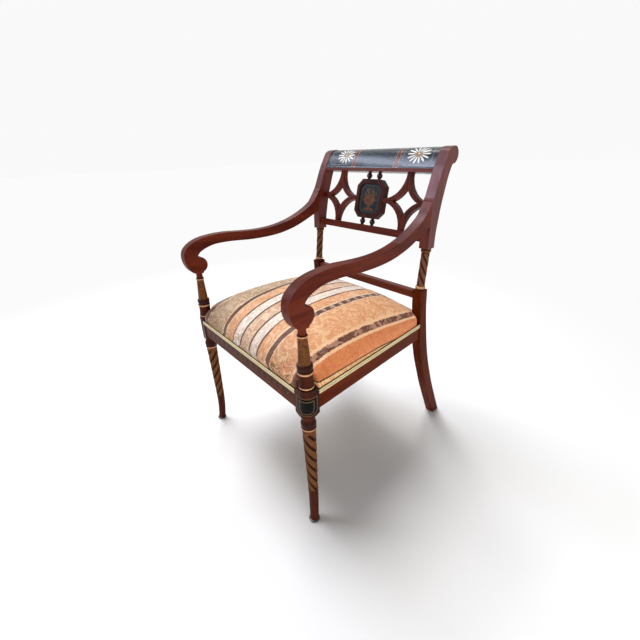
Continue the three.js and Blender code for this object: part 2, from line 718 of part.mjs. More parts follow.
add('tablet_panel', tabletPlate(0, recessFloor - fit - panelThickness, recessFloor - fit), ebonised);

// Ball spacers above and below the tablet, each turned in one with its pins.
function spacer(x, foot, top) {
  const middle = (foot + top) / 2;
  const ball = arc([0, middle], ballRadius, -65, 65, 6).map(([r, z]) => [z, r]);
  return leaned(turning([[foot - ballPinLength, ballNeckRadius], ...ball,
    [top + ballPinLength, ballNeckRadius]], () => [x, 0], smallSides));
}
addPair('ball_upper', spacer(ballX, tabletHead, crestLevel), ebonised);
addPair('ball_lower', spacer(ballX, cellFoot, tabletFoot), ebonised);

// Lower back rail, between the rear legs just above the seat.
const squareSection = (y, z, halfDepth, halfHeight) => [[y - halfDepth, z - halfHeight],
  [y + halfDepth, z - halfHeight], [y + halfDepth, z + halfHeight], [y - halfDepth, z + halfHeight]];
add('lower_back_rail', joined(
  crossRail(squareSection(crossY, crossZ, crossRailDepth / 2, crossRailHeight / 2),
    () => rearInner() - fit),
  crossTenon(0), mirrored(crossTenon(0)),
), mahogany);

// Corner blocks and the screws that hold them to the rails.
const cornerFoot = railUnderside + cornerInset;
const cornerTop = railTop - cornerInset;
const frontRailInner = frontFace + railThickness + fit;
const rearRailInner = rearFace - railThickness - fit;
const sideRailInner = (y) => sideRailOuter(y) - railThickness - fit;
const legNotch = halfBlock + fit;
const rearNotch = edgeAt(sabreFront, railTop) - fit;
const blockInner = frontHalfSpan - legNotch;
const frontCornerEdge = [[blockInner - cornerReach, frontRailInner],
  [sideRailInner(legNotch + cornerReach), legNotch + cornerReach]];
const rearCornerEdge = [[sideRailInner(rearNotch - cornerReach), rearNotch - cornerReach],
  [rearInner() - fit - cornerReach, rearRailInner]];
const frontCornerPlan = [frontCornerEdge[0], [blockInner, frontRailInner], [blockInner, legNotch],
  [sideRailInner(legNotch), legNotch], frontCornerEdge[1]];
const rearCornerPlan = [rearCornerEdge[0], [sideRailInner(rearNotch), rearNotch],
  [rearInner() - fit, rearNotch], [rearInner() - fit, rearRailInner], rearCornerEdge[1]];

// A screw is made along +Z with the underside of its head at zero, then laid and placed.
function laid(geometry, [x, y, z], towards) {
  const turn = new THREE.Quaternion().setFromUnitVectors(new THREE.Vector3(0, 0, 1),
    new THREE.Vector3(...towards).normalize());
  return geometry.applyQuaternion(turn).translate(x, y, z);
}
const atOrigin = () => [0, 0];
const screw = () => turning([[-screwHeadHeight, screwHeadRadius], [0, screwHeadRadius],
  [0, screwRadius], [screwLength, screwRadius]], atOrigin, smallSides);
const screwHole = () => turning([[-cornerReach, screwHeadRadius + fit], [fit, screwHeadRadius + fit],
  [fit, screwRadius + fit], [screwLength + fit, screwRadius + fit]], atOrigin, smallSides);
const backing = cornerReach / 3;
const sideScrew = (y) => [sideRailInner(y) - screwSeat, y, railMiddle];
const screwPlaces = [
  ['front', 'a', [blockInner - backing, frontRailInner + screwSeat, railMiddle], [0, -1, 0]],
  ['front', 'b', sideScrew(legNotch + backing), [1, 0, 0]],
  ['rear', 'a', [rearInner() - backing, rearRailInner - screwSeat, railMiddle], [0, 1, 0]],
  ['rear', 'b', sideScrew(rearNotch - backing), [1, 0, 0]],
];
const screwCuts = (place) => screwPlaces.filter(([end]) => end === place)
  .map(([, , at, towards]) => laid(screwHole(), at, towards));
addPair('front_corner_block', cut(planBoard(frontCornerPlan, cornerFoot, cornerTop),
  ...screwCuts('front')), beech);
addPair('rear_corner_block', cut(planBoard(rearCornerPlan, cornerFoot, cornerTop),
  ...screwCuts('rear')), beech);
for (const [place, letter, at, towards] of screwPlaces) {
  addPair(`${place}_corner_screw_${letter}`, laid(screw(), at, towards), steel);
}

// Seat rails, tenoned into the leg blocks and the rear legs.
const frontCuts = screwCuts('front');
const rearCuts = screwCuts('rear');
add('front_rail', cut(
  joined(crossRail(squareSection(frontFace + halfRail, railMiddle, halfRail, railHeight / 2),
    () => frontHalfSpan - halfBlock - fit), frontTenon(0), mirrored(frontTenon(0))),
  frontCuts[0], mirrored(frontCuts[0]),
), mahogany);
add('rear_rail', cut(
  joined(crossRail(squareSection(rearRailY, railMiddle, halfRail, railHeight / 2),
    () => rearInner() - fit), rearTenon(0), mirrored(rearTenon(0))),
  rearCuts[0], mirrored(rearCuts[0]),
), beech);
const sideRailOutline = [[halfBlock + fit, railUnderside],
  [edgeAt(sabreFront, railUnderside) - fit, railUnderside],
  [edgeAt(sabreFront, railTop) - fit, railTop], [halfBlock + fit, railTop]];
addPair('side_rail', cut(
  joined(sideBoard(sideRailOutline, railThickness, sideTenonX), sideFrontTenon(0), sideRearTenon(0)),
  frontCuts[1], rearCuts[1],
), mahogany);

// Where the seat passes in front of and between the legs.
const rearClear = edgeAt(sabreFront, railTop + seatCrown / 2) - 2 * fit;
const postClear = halfBlock + 2 * fit;
const besideBlock = frontHalfSpan - postClear;
const besideLeg = rearInner() - 2 * fit;

// Webbing: straps both ways across the rails, as one woven sheet.
const webFoot = railTop + fit;
const webTop = webFoot + webThickness;
const [webFront, webRear] = [frontFace + webInset, rearFace - webInset];
const strap = ([x0, y0], [x1, y1]) => boxBetween([x0, y0, webFoot], [x1, y1, webTop]);
const webEdge = (y) => sideRailOuter(y) - webInset;
const webClear = legNotch + webInset + webWidth / 2;
const alongHalf = Math.min(besideBlock, besideLeg) - webInset - webWidth / 2;
const alongStraps = [-1, -1 / 3, 1 / 3, 1].map((share) => {
  const x = share * alongHalf;
  return strap([x - webWidth / 2, webFront], [x + webWidth / 2, webRear]);
});
const acrossStraps = [0, 1, 2, 3].map((i) => {
  const y = mix(webClear, rearClear - webInset - webWidth / 2, i / 3);
  const half = webEdge(y + webWidth / 2);
  return strap([-half, y - webWidth / 2], [half, y + webWidth / 2]);
});
add('seat_webbing', joined(...alongStraps, ...acrossStraps), linen);

// Seat: a stuffed pad under a fitted cover, both notched round the legs.
// The plan of one half, from the middle of the front to the middle of the back.
const seatSide = (y) => sideRailOuter(y) - seatInset;
const seatFront = frontFace + seatInset;
const seatRear = rearFace - seatInset;
const seatPlan = [
  ...[0, 0.35, 0.65, 0.88].map((share) => [share * besideBlock, seatFront]),
  ...[seatFront, 0, postClear].map((y) => [besideBlock, y]),
  [frontHalfSpan, postClear],
  ...[postClear, 3 * halfBlock, 0.3 * rearLegReach, 0.5 * rearLegReach, 0.7 * rearLegReach,
    0.86 * rearLegReach, rearClear].map((y) => [seatSide(y), y]),
  [rearHalfSpan, rearClear],
  ...[rearClear, (rearClear + seatRear) / 2, seatRear].map((y) => [besideLeg, y]),
  ...[0.85, 0.6, 0.3, 0].map((share) => [share * besideLeg, seatRear]),
];
const seatRing = [...seatPlan, ...seatPlan.slice(1, -1).toReversed().map(([x, y]) => [-x, y])];
const seatMiddle = (seatFront + seatRear) / 2;
const seatReach = (seatRear - seatFront) / 2;
const seatShares = [0, 0.006, 0.02, 0.05, 0.1, 0.17, 0.27, 0.4, 0.55, 0.75];
const coverFoot = railTop + fit;

// The crown: two rounded falls, one to the sides and a softer one to the front and back.
const fall = (share, power) => (1 - Math.min(1, Math.abs(share)) ** power) ** (1 / power);
const seatTop = (x, y) => railTop + seatWall
  + seatCrown * fall(x / seatSide(y), 2.6) * fall((y - seatMiddle) / seatReach, 2.15);

// The rings of the seat's surface from a foot to its peak, moved in by an amount.
function seatPoints(foot, within) {
  const shrunk = ([x, y], towards) => {
    const share = (1 - towards) * (1 - 1.5 * within / Math.hypot(x, y - seatMiddle));
    return [x * share, seatMiddle + (y - seatMiddle) * share];
  };
  return [
    ...seatRing.flatMap((point) => [...shrunk(point, 0), foot]),
    ...seatShares.flatMap((towards) => seatRing.flatMap((point) => {
      const [x, y] = [point[0] * (1 - towards), mix(point[1], seatMiddle, towards)];
      const top = towards === 0 ? railTop + seatWall : seatTop(x, y);
      return [...shrunk(point, towards), top - within];
    })),
    0, seatMiddle, seatTop(0, seatMiddle) - within,
  ];
}

// Faces between the rings, up to the peak.
function seatFaces() {
  const count = seatRing.length;
  const last = seatShares.length * count;
  return seatRing.flatMap((_, i) => {
    const next = (i + 1) % count;
    const band = seatShares.flatMap((__, k) => {
      const [p, q] = [k * count + i, k * count + next];
      return [p, q, q + count, p, q + count, p + count];
    });
    return [...band, last + i, last + next, last + count];
  });
}

// The cover is a shell, open below, that hangs round the pad to the top of the rails.
const outside = seatPoints(coverFoot, 0);
const inside = outside.length / 3;
const turned = (faces) => faces.map((_, i) => faces[i - i % 3 + [0, 2, 1][i % 3]]);
const rim = seatRing.flatMap((_, i) => {
  const next = (i + 1) % seatRing.length;
  return [next, i, inside + i, next, inside + i, inside + next];
});
add('seat_cover', meshOf([...outside, ...seatPoints(coverFoot, coverThickness)],
  [...seatFaces(), ...turned(seatFaces()).map((i) => i + inside), ...rim]), damask);

// The pad is closed below by a fan about the middle of its foot.
const padFoot = webTop + fit;
const pad = seatPoints(padFoot, coverThickness + fit);
add('seat_pad', meshOf([...pad, 0, seatMiddle, padFoot], [...seatFaces(),
  ...seatRing.flatMap((_, i) => [inside, (i + 1) % seatRing.length, i])]), linen);

// Gimp: a double cord along the top of each rail.
const gimpFoot = railTop - gimpDrop;
const cordRadius = gimpHeight / 4;
const gimpSection = [0, 1].flatMap((row) =>
  arc([0, gimpFoot + cordRadius * (1 + 2 * row)], 1, -90, 90, 4)
    .map(([out, z], i) => [out * (gimpDepth - fit), mix(gimpFoot + 2 * cordRadius * row,
      gimpFoot + 2 * cordRadius * (row + 1), i / 4)])
    .slice(row));
const gimpFace = (face, way) => [[face + way * fit, gimpFoot], ...gimpSection
  .map(([out, z]) => [face + way * (2 * fit + out), z]), [face + way * fit, gimpFoot + gimpHeight]];
add('gimp_front', crossRail(gimpFace(frontFace, -1).toReversed(),
  () => frontHalfSpan - halfBlock - 2 * fit), braid);
add('gimp_rear', crossRail(gimpFace(rearFace, 1), () => rearInner() - 2 * fit), braid);

// The side gimp is laid along +Y from a section in x and z, then swung to the rail.
const sideGimpLength = edgeAt(sabreFront, railTop) - halfBlock - 5 * fit;
const sideGimp = extruded(gimpFace(0, 1).map(([x, z]) => [x, z]), sideGimpLength)
  .rotateX(Math.PI / 2).translate(0, halfBlock + 2 * fit + sideGimpLength, 0);
addPair('gimp_side', shifted(sideGimp, (x, y) => x + sideRailOuter(y)), braid);

// The origin is under the middle of the chair, on the floor.
const bounds = new THREE.Box3().setFromObject(chair);
const middle = bounds.getCenter(new THREE.Vector3());
chair.position.set(-middle.x, -middle.y, -bounds.min.z);

export default chair;
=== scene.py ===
"""Open armchair: the show wood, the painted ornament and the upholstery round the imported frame.

Lengths are in millimetres, taken from the front leg axis (y) and the floor (z), and at() puts
them in the frame's metres. Lamps are placed in metres. Colours are red, green and blue as they
look, from 0 to 255. The chair faces -Y.
"""
import json
from math import atan2, cos, pi, radians, sin, sqrt

import bmesh
import bpy
import numpy as np
from mathutils import Matrix, Vector

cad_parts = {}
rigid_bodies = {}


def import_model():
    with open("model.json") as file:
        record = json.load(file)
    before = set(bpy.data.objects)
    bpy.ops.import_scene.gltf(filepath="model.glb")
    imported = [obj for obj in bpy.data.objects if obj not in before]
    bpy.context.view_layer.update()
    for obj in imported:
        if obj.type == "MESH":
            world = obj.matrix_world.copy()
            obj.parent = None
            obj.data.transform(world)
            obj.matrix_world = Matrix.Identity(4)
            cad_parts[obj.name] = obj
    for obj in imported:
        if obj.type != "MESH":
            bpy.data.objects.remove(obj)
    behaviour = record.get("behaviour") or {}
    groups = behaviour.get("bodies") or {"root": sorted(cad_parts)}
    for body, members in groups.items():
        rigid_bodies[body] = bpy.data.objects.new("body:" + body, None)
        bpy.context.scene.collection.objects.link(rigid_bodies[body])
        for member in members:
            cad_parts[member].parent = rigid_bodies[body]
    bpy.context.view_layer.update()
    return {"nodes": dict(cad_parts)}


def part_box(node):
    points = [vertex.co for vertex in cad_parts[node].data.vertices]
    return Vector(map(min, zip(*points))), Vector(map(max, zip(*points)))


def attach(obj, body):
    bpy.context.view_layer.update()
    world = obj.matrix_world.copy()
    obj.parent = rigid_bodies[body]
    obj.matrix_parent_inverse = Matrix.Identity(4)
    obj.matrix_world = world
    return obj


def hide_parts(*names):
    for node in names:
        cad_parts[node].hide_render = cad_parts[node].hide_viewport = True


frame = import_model()
nodes = frame["nodes"]
scene = bpy.context.scene
mm = 0.001

# Places on the frame
support_low, support_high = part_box("arm_support_right")
axis_y = (support_low.y + support_high.y) / 2 / mm
leg_x, support_top_x, rear_x = 251, 245, 217
block_foot, block_top, half_block = 332, 406, 19
rail_top = 396
side_slope = 0.0927
post_foot, post_top = 503, 617
lean = radians(11.46)
lattice_pivot, lattice_foot, lattice_height = (447, 641), 11, 160.2
tablet_rise, tablet_half_height = 85.1, 55


def at(x, y, z):
    """A point of the chair in the frame's metres."""
    return Vector((x, y + axis_y, z)) * mm


def lean_point(x, up):
    """A point on the leaning lattice, up from its foot rail."""
    y, z = lattice_pivot
    return at(x, y + up * sin(lean), z + up * cos(lean))


def mix(a, b, share):
    return a + (b - a) * share


# Modelling by hand: primitives, edit mode and finished modifiers

flat_angle = radians(0.4)


def activate(piece):
    for other in bpy.context.view_layer.objects:
        other.select_set(False)
    bpy.context.view_layer.objects.active = piece
    piece.select_set(True)


def take_all():
    bpy.ops.mesh.select_all(action="SELECT")


def begin(name, primitive, **settings):
    """Adds a primitive under a name and opens it with everything selected."""
    bpy.ops.object.select_all(action="DESELECT")
    primitive(**settings)
    piece = bpy.context.object
    piece.name = piece.data.name = name
    bpy.ops.object.mode_set(mode="EDIT")
    take_all()
    return piece


def edit(piece, kind="VERT"):
    activate(piece)
    bpy.ops.object.mode_set(mode="EDIT")
    bpy.ops.mesh.select_mode(type=kind)


def close():
    bpy.ops.object.mode_set(mode="OBJECT")


def choose(piece, test, kind="VERT"):
    """Selects the vertices, edges or faces that pass a test, and nothing else."""
    bpy.ops.mesh.select_mode(type=kind)
    bpy.ops.mesh.select_all(action="DESELECT")
    mesh = bmesh.from_edit_mesh(piece.data)
    for part in {"VERT": mesh.verts, "EDGE": mesh.edges, "FACE": mesh.faces}[kind]:
        if test(part):
            part.select_set(True)
    mesh.select_flush_mode()
    bmesh.update_edit_mesh(piece.data)


def face_outwards():
    """Turns every face of the open piece outwards and closes it."""
    take_all()
    bpy.ops.mesh.normals_make_consistent(inside=False)
    close()


def merge(piece, gap):
    """Merges what lies closer than a gap, and dissolves the edges inside flat faces."""
    edit(piece)
    take_all()
    bpy.ops.mesh.remove_doubles(threshold=gap * mm)
    bpy.ops.mesh.dissolve_limited(angle_limit=flat_angle)
    close()


def settle(piece):
    """Applies the object's place, so that it sits at the origin with its place in its mesh."""
    activate(piece)
    bpy.ops.object.transform_apply(location=True, rotation=True, scale=True)


def assign(target, **settings):
    for key, value in settings.items():
        setattr(target, key, value)
    return target


def modify(piece, kind, **settings):
    """Adds a modifier and applies it."""
    activate(piece)
    modifier = assign(piece.modifiers.new(kind.lower(), kind), **settings)
    bpy.ops.object.modifier_apply(modifier=modifier.name)


def smooth(piece, angle=35):
    activate(piece)
    bpy.ops.object.shade_smooth_by_angle(angle=radians(angle))


def even_normals(piece):
    """Smooths the rounded arrises and keeps the faces between them flat."""
    smooth(piece)
    modify(piece, "WEIGHTED_NORMAL", mode="FACE_AREA", weight=60, keep_sharp=True)


def round_edges(piece, width, segments=3, angle=30):
    modify(piece, "BEVEL", width=width * mm, segments=segments, limit_method="ANGLE",
           angle_limit=radians(angle), miter_outer="MITER_ARC")
    even_normals(piece)


def add(name, data):
    """Puts a new object in the scene, and names what it is made of after it."""
    made = bpy.data.objects.new(name, data)
    data.name = name
    scene.collection.objects.link(made)
    return made


def shape_of(node, name):
    """A merged copy of a CAD node's mesh, ready to be worked on."""
    piece = add(name, nodes[node].data.copy())
    piece.data.materials.clear()
    merge(piece, 0.01)
    return piece


def finish(piece, slot, *replaced, finishes=()):
    for material in finishes:
        piece.data.materials.append(material)
    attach(piece, "root")
    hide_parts(*replaced)


def finish_pair(piece, slot, node, finishes=()):
    """Finishes a right-hand piece and its mirror image, each in place of its own node."""
    finish(piece, slot, f"{node}_right", finishes=finishes)
    left = add(piece.name.replace("right", "left"), piece.data.copy())
    left.data.transform(Matrix.Scale(-1, 4, Vector((1, 0, 0))))
    edit(left)
    face_outwards()
    finish(left, slot, f"{node}_left")


# Finishes: sums on a material's nodes, so that a pattern can be written as a formula

def srgb(red, green, blue):
    """A colour given as it looks, as the shader takes it."""
    def linear(value):
        share = value / 255
        return share / 12.92 if share <= 0.04045 else ((share + 0.055) / 1.055) ** 2.4
    return (linear(red), linear(green), linear(blue), 1)


def sum_of(operation):
    """A sum that a field can do with itself and others."""
    return lambda self, *others: self.finish.sum(operation, self, *others)


class Field:
    """A value on the nodes of a finish that can be added, multiplied and compared."""

    __add__, __sub__ = sum_of("ADD"), sum_of("SUBTRACT")
    __mul__, __truediv__ = sum_of("MULTIPLY"), sum_of("DIVIDE")
    __lt__, __gt__ = sum_of("LESS_THAN"), sum_of("GREATER_THAN")
    under, over = sum_of("MINIMUM"), sum_of("MAXIMUM")
    abs, root = sum_of("ABSOLUTE"), sum_of("SQRT")

    def __init__(self, finish_, socket):
        self.finish, self.socket = finish_, socket

    def inverse(self):
        return self.finish.sum("SUBTRACT", 1, self)

    def hypot(self, other):
        return (self * self + other * other).root()

    def wave(self, length):
        """A sine wave, from -1 to 1, that comes round again after a length."""
        return self.finish.sum("SINE", self * (2 * pi / length))

    def above(self, low, high):
        """0 below low, 1 above high, and an even slope between."""
        return Field(self.finish, self.finish.fed("MapRange", self, low, high, 0, 1, clamp=True))

    def below(self, low, high):
        return self.above(low, high).inverse()

    def near(self, low, high):
        """1 within low of nought on either side, and 0 from high outwards."""
        return self.abs().below(low, high)


class Finish:
    """A material with its shader, its coordinates in millimetres and its patterns."""

    def __init__(self, name, roughness, **settings):
        self.material = bpy.data.materials.new(name)
        self.material.use_nodes = True
        self.tree = self.material.node_tree
        self.shader = self.tree.nodes["Principled BSDF"]
        self.shader.inputs["Roughness"].default_value = roughness
        for key, value in settings.items():
            self.shader.inputs[key.replace("_", " ")].default_value = value

    def node(self, kind, **settings):
        return assign(self.tree.nodes.new("ShaderNode" + kind), **settings)

    def put(self, socket, value):
        if isinstance(value, Field):
            value = value.socket
        if isinstance(value, bpy.types.NodeSocket):
            self.tree.links.new(value, socket)
        else:
            socket.default_value = srgb(*value) if socket.type == "RGBA" else value

    def fed(self, kind, *values, **settings):
        """A new node's first output, with its inputs fed in their order."""
        made = self.node(kind, **settings)
        for socket, value in zip(made.inputs, values):
            self.put(socket, value)
        return made.outputs[0]

    def sum(self, operation, *values):
        return Field(self, self.fed("Math", *values, operation=operation))

    def split(self, vector):
        made = self.node("SeparateXYZ")
        self.put(made.inputs[0], vector)
        return [Field(self, out) for out in made.outputs]

    def join(self, x, y):
        return self.fed("CombineXYZ", x, y, 0)

    def place(self, centre=(0, 0, 0), turn=(0, 0, 0)):
        """Object coordinates in millimetres about a centre, turned with the piece."""
        coordinates = self.node("TexCoord").outputs["Object"]
        return self.fed("Mapping", coordinates, centre, turn, (mm,) * 3, vector_type="TEXTURE")

    def chart(self):
        """The piece's own map, in millimetres."""
        return self.stretch(self.node("UVMap", uv_map="chart").outputs[0], (1 / mm,) * 3)

    def stretch(self, vector, scale):
        return self.fed("VectorMath", vector, scale, operation="MULTIPLY")

    def noise(self, vector, size, detail=2, distortion=0):
        """Noise whose patches are about a size across, from 0 to 1."""
        made = self.node("TexNoise")
        self.put(made.inputs["Vector"], vector)
        for key, value in (("Scale", 1 / size), ("Detail", detail), ("Distortion", distortion)):
            made.inputs[key].default_value = value
        return Field(self, made.outputs["Fac"])

    def ramp(self, value, stops, hard=False):
        """A colour for each value: stops are (value, colour) with values from 0 to 1."""
        made = self.node("ValToRGB")
        if hard:
            made.color_ramp.interpolation = "CONSTANT"
        elements = made.color_ramp.elements
        for element, (place, colour) in zip(elements, (stops[0], stops[-1])):
            element.position = place
            element.color = srgb(*colour)
        for place, colour in stops[1:-1]:
            elements.new(place).color = srgb(*colour)
        self.put(made.inputs[0], value)
        return made.outputs[0]

    def layers(self, colour, *painted):
        """Coats of paint, each (share, colour), one over the other."""
        for share, coat in painted:
            made = self.node("Mix", data_type="RGBA")
            for index, value in ((0, share), (6, colour), (7, coat)):
                self.put(made.inputs[index], value)
            colour = made.outputs[2]
        return colour

    def finished(self, colour, bump, rough=()):
        """The material. A bump is (height, depth, strength), and rough is (value, low, high)."""
        self.put(self.shader.inputs["Base Color"], colour)
        if rough:
            value, low, high = rough
            self.put(self.shader.inputs["Roughness"], self.fed("MapRange", value, 0, 1, low, high))
        height, depth, strength = bump
        made = self.node("Bump")
        made.inputs["Strength"].default_value = strength
        made.inputs["Distance"].default_value = depth * mm
        self.put(made.inputs["Height"], height)
        self.put(self.shader.inputs["Normal"], made.outputs[0])
        return self.material


red_wood = ((60, 19, 9), (86, 31, 16), (108, 45, 26))
sky_tint = (0.86, 0.84, 1.0, 1)
grain_stretch = 0.055
wood_relief, wood_gloss = (0.12, 0.5), (0.28, 0.46)


def wood_colour(made, vector, axis, tones=red_wood):
    """Streaked grain that runs along an axis, and its height for the bump."""
    grained = made.stretch(vector, [grain_stretch if letter == axis else 1.0 for letter in "XYZ"])
    broad = made.noise(grained, 22, 3, 0.4)
    fine = made.noise(grained, 1.9, 2, 0.2)
    return made.ramp(broad * 0.72 + fine * 0.28, list(zip((0.32, 0.5, 0.68), tones))), fine


def mahogany(axis, tones=red_wood, name="mahogany", index=1.17):
    made = Finish(f"{name}_along_{axis.lower()}", 0.38, IOR=index, Specular_Tint=sky_tint)
    vector = made.place()
    colour, fine = wood_colour(made, vector, axis, tones)
    worn = Field(made, made.node("NewGeometry").outputs["Pointiness"]).above(0.52, 0.6)
    return made.finished(made.layers(colour, (worn * 0.35, tones[2])), (fine, *wood_relief),
                         (made.noise(vector, 35, 3), *wood_gloss))


def cut_corner(across, up, chamfer):
    """How far a point lies outside two square sides and the chamfer between them."""
    return across.over(up).over((across + up + chamfer) * 0.7071)


def crest_paint():
    """Blue-black fields with daisies, parted by red-brown bands with pale lines."""
    made = Finish("painted_crest", 0.3, Specular_IOR_Level=0.32, Specular_Tint=(0.8, 0.88, 1.0, 1))
    band_x, panel_x, petals = 80, 141, 14
    flower_right, flower_left, flower_rise = 143, -124, 56.5
    chart = made.chart()
    x, along, _ = made.split(chart)
    wood, fine = wood_colour(made, made.place(), "X")
    smear = made.noise(made.stretch(chart, (0.22, 1, 1)), 15, 5, 0.8)
    paint = made.ramp(smear, ((0.32, (10, 16, 22)), (0.5, (22, 31, 41)), (0.68, (46, 59, 76))))
    scratch = made.noise(made.stretch(chart, (0.08, 1.6, 1)), 5, 3, 2.0).above(0.68, 0.74)
    # A pale blue-grey band half way up the front: painted sheen, and partly a dull bloom in the paint.
    bloom_and_painted_sheen = along.above(16, 32) * along.below(42, 60) * smear.above(0.3, 0.65) * 0.3
    from_band = (x.abs() - band_x).abs()
    hand = made.noise(chart, 9, 2).above(0.3, 0.5) * 0.6 + 0.35
    field = along.above(16.4, 17.2) * x.near(199.5, 200.5)
    # A pale line round each flower field, with its lower corners cut off.
    outline = cut_corner((x.abs() - panel_x).abs() - 45.5, along * -1 + 26, 9)
    line = outline.near(0.35, 0.8) * (x.abs() > band_x + 8) * hand
    # Daisies: pointed petals round a tan eye.
    on_right = x > 0
    flower_x = ((x - flower_right) * on_right + (x - flower_left) * on_right.inverse()) * 0.78
    flower_y = (along - flower_rise) * 1.06
    radius = flower_x.hypot(flower_y)
    angle = made.sum("ARCTAN2", flower_y, flower_x)
    petal = made.sum("COSINE", angle * (petals / 2)).abs()
    taper = radius.above(9, 29)
    rays = (petal - taper * taper * 0.42).above(0.55, 0.66) * (radius < 27.5) * (radius > 6)
    halo = radius.below(8.5, 10) * petal.above(0.4, 0.6)
    painted = (
        (bloom_and_painted_sheen, (124, 132, 152)), (scratch * 0.25, (96, 106, 124)), (from_band.below(8.2, 8.8), wood),
        ((from_band - 6).near(0.45, 0.9) * hand, (196, 150, 132)), (line, (150, 148, 140)),
        (rays, (238, 236, 228)), (halo, (190, 160, 128)), (radius.below(5.2, 6.6), (150, 118, 88)),
        (radius.below(1.6, 2.4), (244, 238, 222)))
    colour = made.layers(wood, (field, paint), *((share * field, coat) for share, coat in painted))
    # The painted face is slightly rounded from its foot to its top.
    from_middle = along - 43
    relief = smear * 0.6 + fine * 0.4 + from_middle * from_middle * -0.028
    return made.finished(colour, (relief, 0.2, 0.5), (smear, 0.17, 0.34))


def tablet_paint():
    """A dark panel with two thin lines round an urn of flowers."""
    made = Finish("painted_tablet", 0.34, IOR=1.2, Specular_Tint=sky_tint)
    x, _, z = made.split(made.place(lean_point(0, tablet_rise), (-lean, 0, 0)))
    wide, flat = x.abs(), made.join(x, z)
    mottle = made.noise(flat, 5, 3, 0.8)
    ground = made.ramp(mottle, ((0.35, (9, 15, 18)), (0.7, (24, 38, 42))))
    rim = cut_corner(wide - 36.5, z.abs() - 38.5, 13)
    lines = rim.near(0.4, 0.8).over((rim + 4).near(0.3, 0.7))
    # The urn: a wide body that narrows to a stem, with a flared lip, two handles and a foot.
    body_z = z + 4
    curve = (body_z * body_z * -1 + 225).over(0).root() * 1.2
    body = (wide - curve * (body_z * 0.016 + 1.0) - 3).below(-0.8, 0.8) * (body_z.abs() < 14.5)
    lip = (wide - 18).below(-0.6, 0.6) * ((z - 11).abs() < 1.8)
    stem = (wide - 5).below(-0.6, 0.6) * ((z + 21).abs() < 4)
    foot = (wide - 17 + (z + 28) * 0.5).below(-0.6, 0.6) * ((z + 29).abs() < 3.5)
    handle = ((wide - 24).hypot((z - 4) * 0.8) - 6).near(0.5, 1.1)
    gilding = made.ramp(mottle, ((0.3, (54, 30, 15)), (0.5, (94, 56, 28)), (0.75, (128, 84, 46))))
    # Flowers and leaves spread above the lip.
    spray_x, spray_z = x / 28, (z - 19) / 14
    spray = (spray_x * spray_x + spray_z * spray_z).below(0.6, 1.05) * (z > 12)
    leaves = spray * made.noise(flat, 6.5, 1, 1.2).above(0.45, 0.55)
    blooms = spray * made.noise(flat, 7, 0, 0.5).above(0.54, 0.62)
    colour = made.layers(
        ground, (lines, (70, 78, 66)), (handle, (82, 56, 32)),
        (body.over(foot).over(stem).over(lip), gilding), (leaves, (48, 56, 34)),
        (blooms, (116, 78, 46)))
    return made.finished(colour, (mottle, 0.15, 0.4), (mottle, 0.26, 0.44))


def shield_outline(across, height, half, foot, top, radius):
    """How far a point lies outside a shield with a flat top and a round foot."""
    beside = (across.abs() - (half - radius)).over(0)
    beneath = (height * -1 + (foot + radius)).over(0)
    return (beside.hypot(beneath) - radius).over(height - top).over(across.abs() - half)


def block_paint():
    """The leg block: a dark shield with two gold lines, bent round the rounded corner."""
    made = Finish("painted_block", 0.34, IOR=1.16, Specular_Tint=sky_tint)
    place = made.place(at(0, 0, 0))
    x, y, z = made.split(place)
    wood, fine = wood_colour(made, place, "Z", ((34, 14, 8), (54, 22, 12), (76, 34, 20)))
    # Distance round the block from the middle of the rounded corner.
    out, front = x.abs() - leg_x, y * -1
    angle = made.sum("ARCTAN2", out.over(0), front.over(0))
    around = (angle - pi / 4) * half_block - front.under(0) + out.under(0)
    shield = shield_outline(around, z, 27.5, 342, 387, 15)
    inner = shield_outline(around, z, 18.5, 347, 379, 13)
    mottle = made.noise(place, 8, 3, 0.5)
    ground = made.ramp(mottle, ((0.3, (9, 8, 6)), (0.8, (22, 22, 16))))
    colour = made.layers(wood, (shield.below(-0.3, 0.3), ground), (shield.near(0.4, 0.9), (124, 84, 52)),
                         (inner.near(0.35, 0.8), (128, 98, 66)))
    return made.finished(colour, (fine, 0.1, 0.4), (mottle, 0.24, 0.42))


def rail_paint():
    """The front rail: leaf sprigs in dark green with touches of gold."""
    made = Finish("painted_front_rail", 0.38, IOR=1.12, Specular_Tint=sky_tint)
    pitch, sprig_rise = 27.0, 372
    place = made.place()
    x, _, z = made.split(place)
    wood, fine = wood_colour(made, place, "X", ((52, 20, 9), (76, 32, 15), (96, 45, 24)))
    cell = (made.sum("FRACT", x / pitch + 0.5) - 0.5) * pitch
    height = z - sprig_rise
    sprigs = None
    for step_x, step_z, turn in ((-5, 2, 0.6), (5, 1, -0.5), (0, -5, 0.2), (1, 7, 1.4)):
        dx, dz = cell - step_x, height - step_z
        long = dx * cos(turn) + dz * sin(turn)
        wide = dz * cos(turn) - dx * sin(turn)
        leaf = long * long / 30 + wide * wide / 6
        sprigs = leaf if sprigs is None else sprigs.under(leaf)
    leaves = (sprigs + made.noise(place, 3, 2) * 0.9).below(1.25, 1.5) * (x.abs() < 205)
    speck = (made.sum("FRACT", x / pitch) - 0.5) * pitch
    dots = (speck * speck + height * height).below(2.5, 5) * (x.abs() < 215)
    vein = made.noise(place, 2.2, 1).above(0.6, 0.66)
    colour = made.layers(wood, (leaves, (34, 32, 20)), (leaves * vein, (104, 84, 44)), (dots, (150, 84, 44)))
    return made.finished(colour, (fine, *wood_relief), (made.noise(place, 35, 3), *wood_gloss))


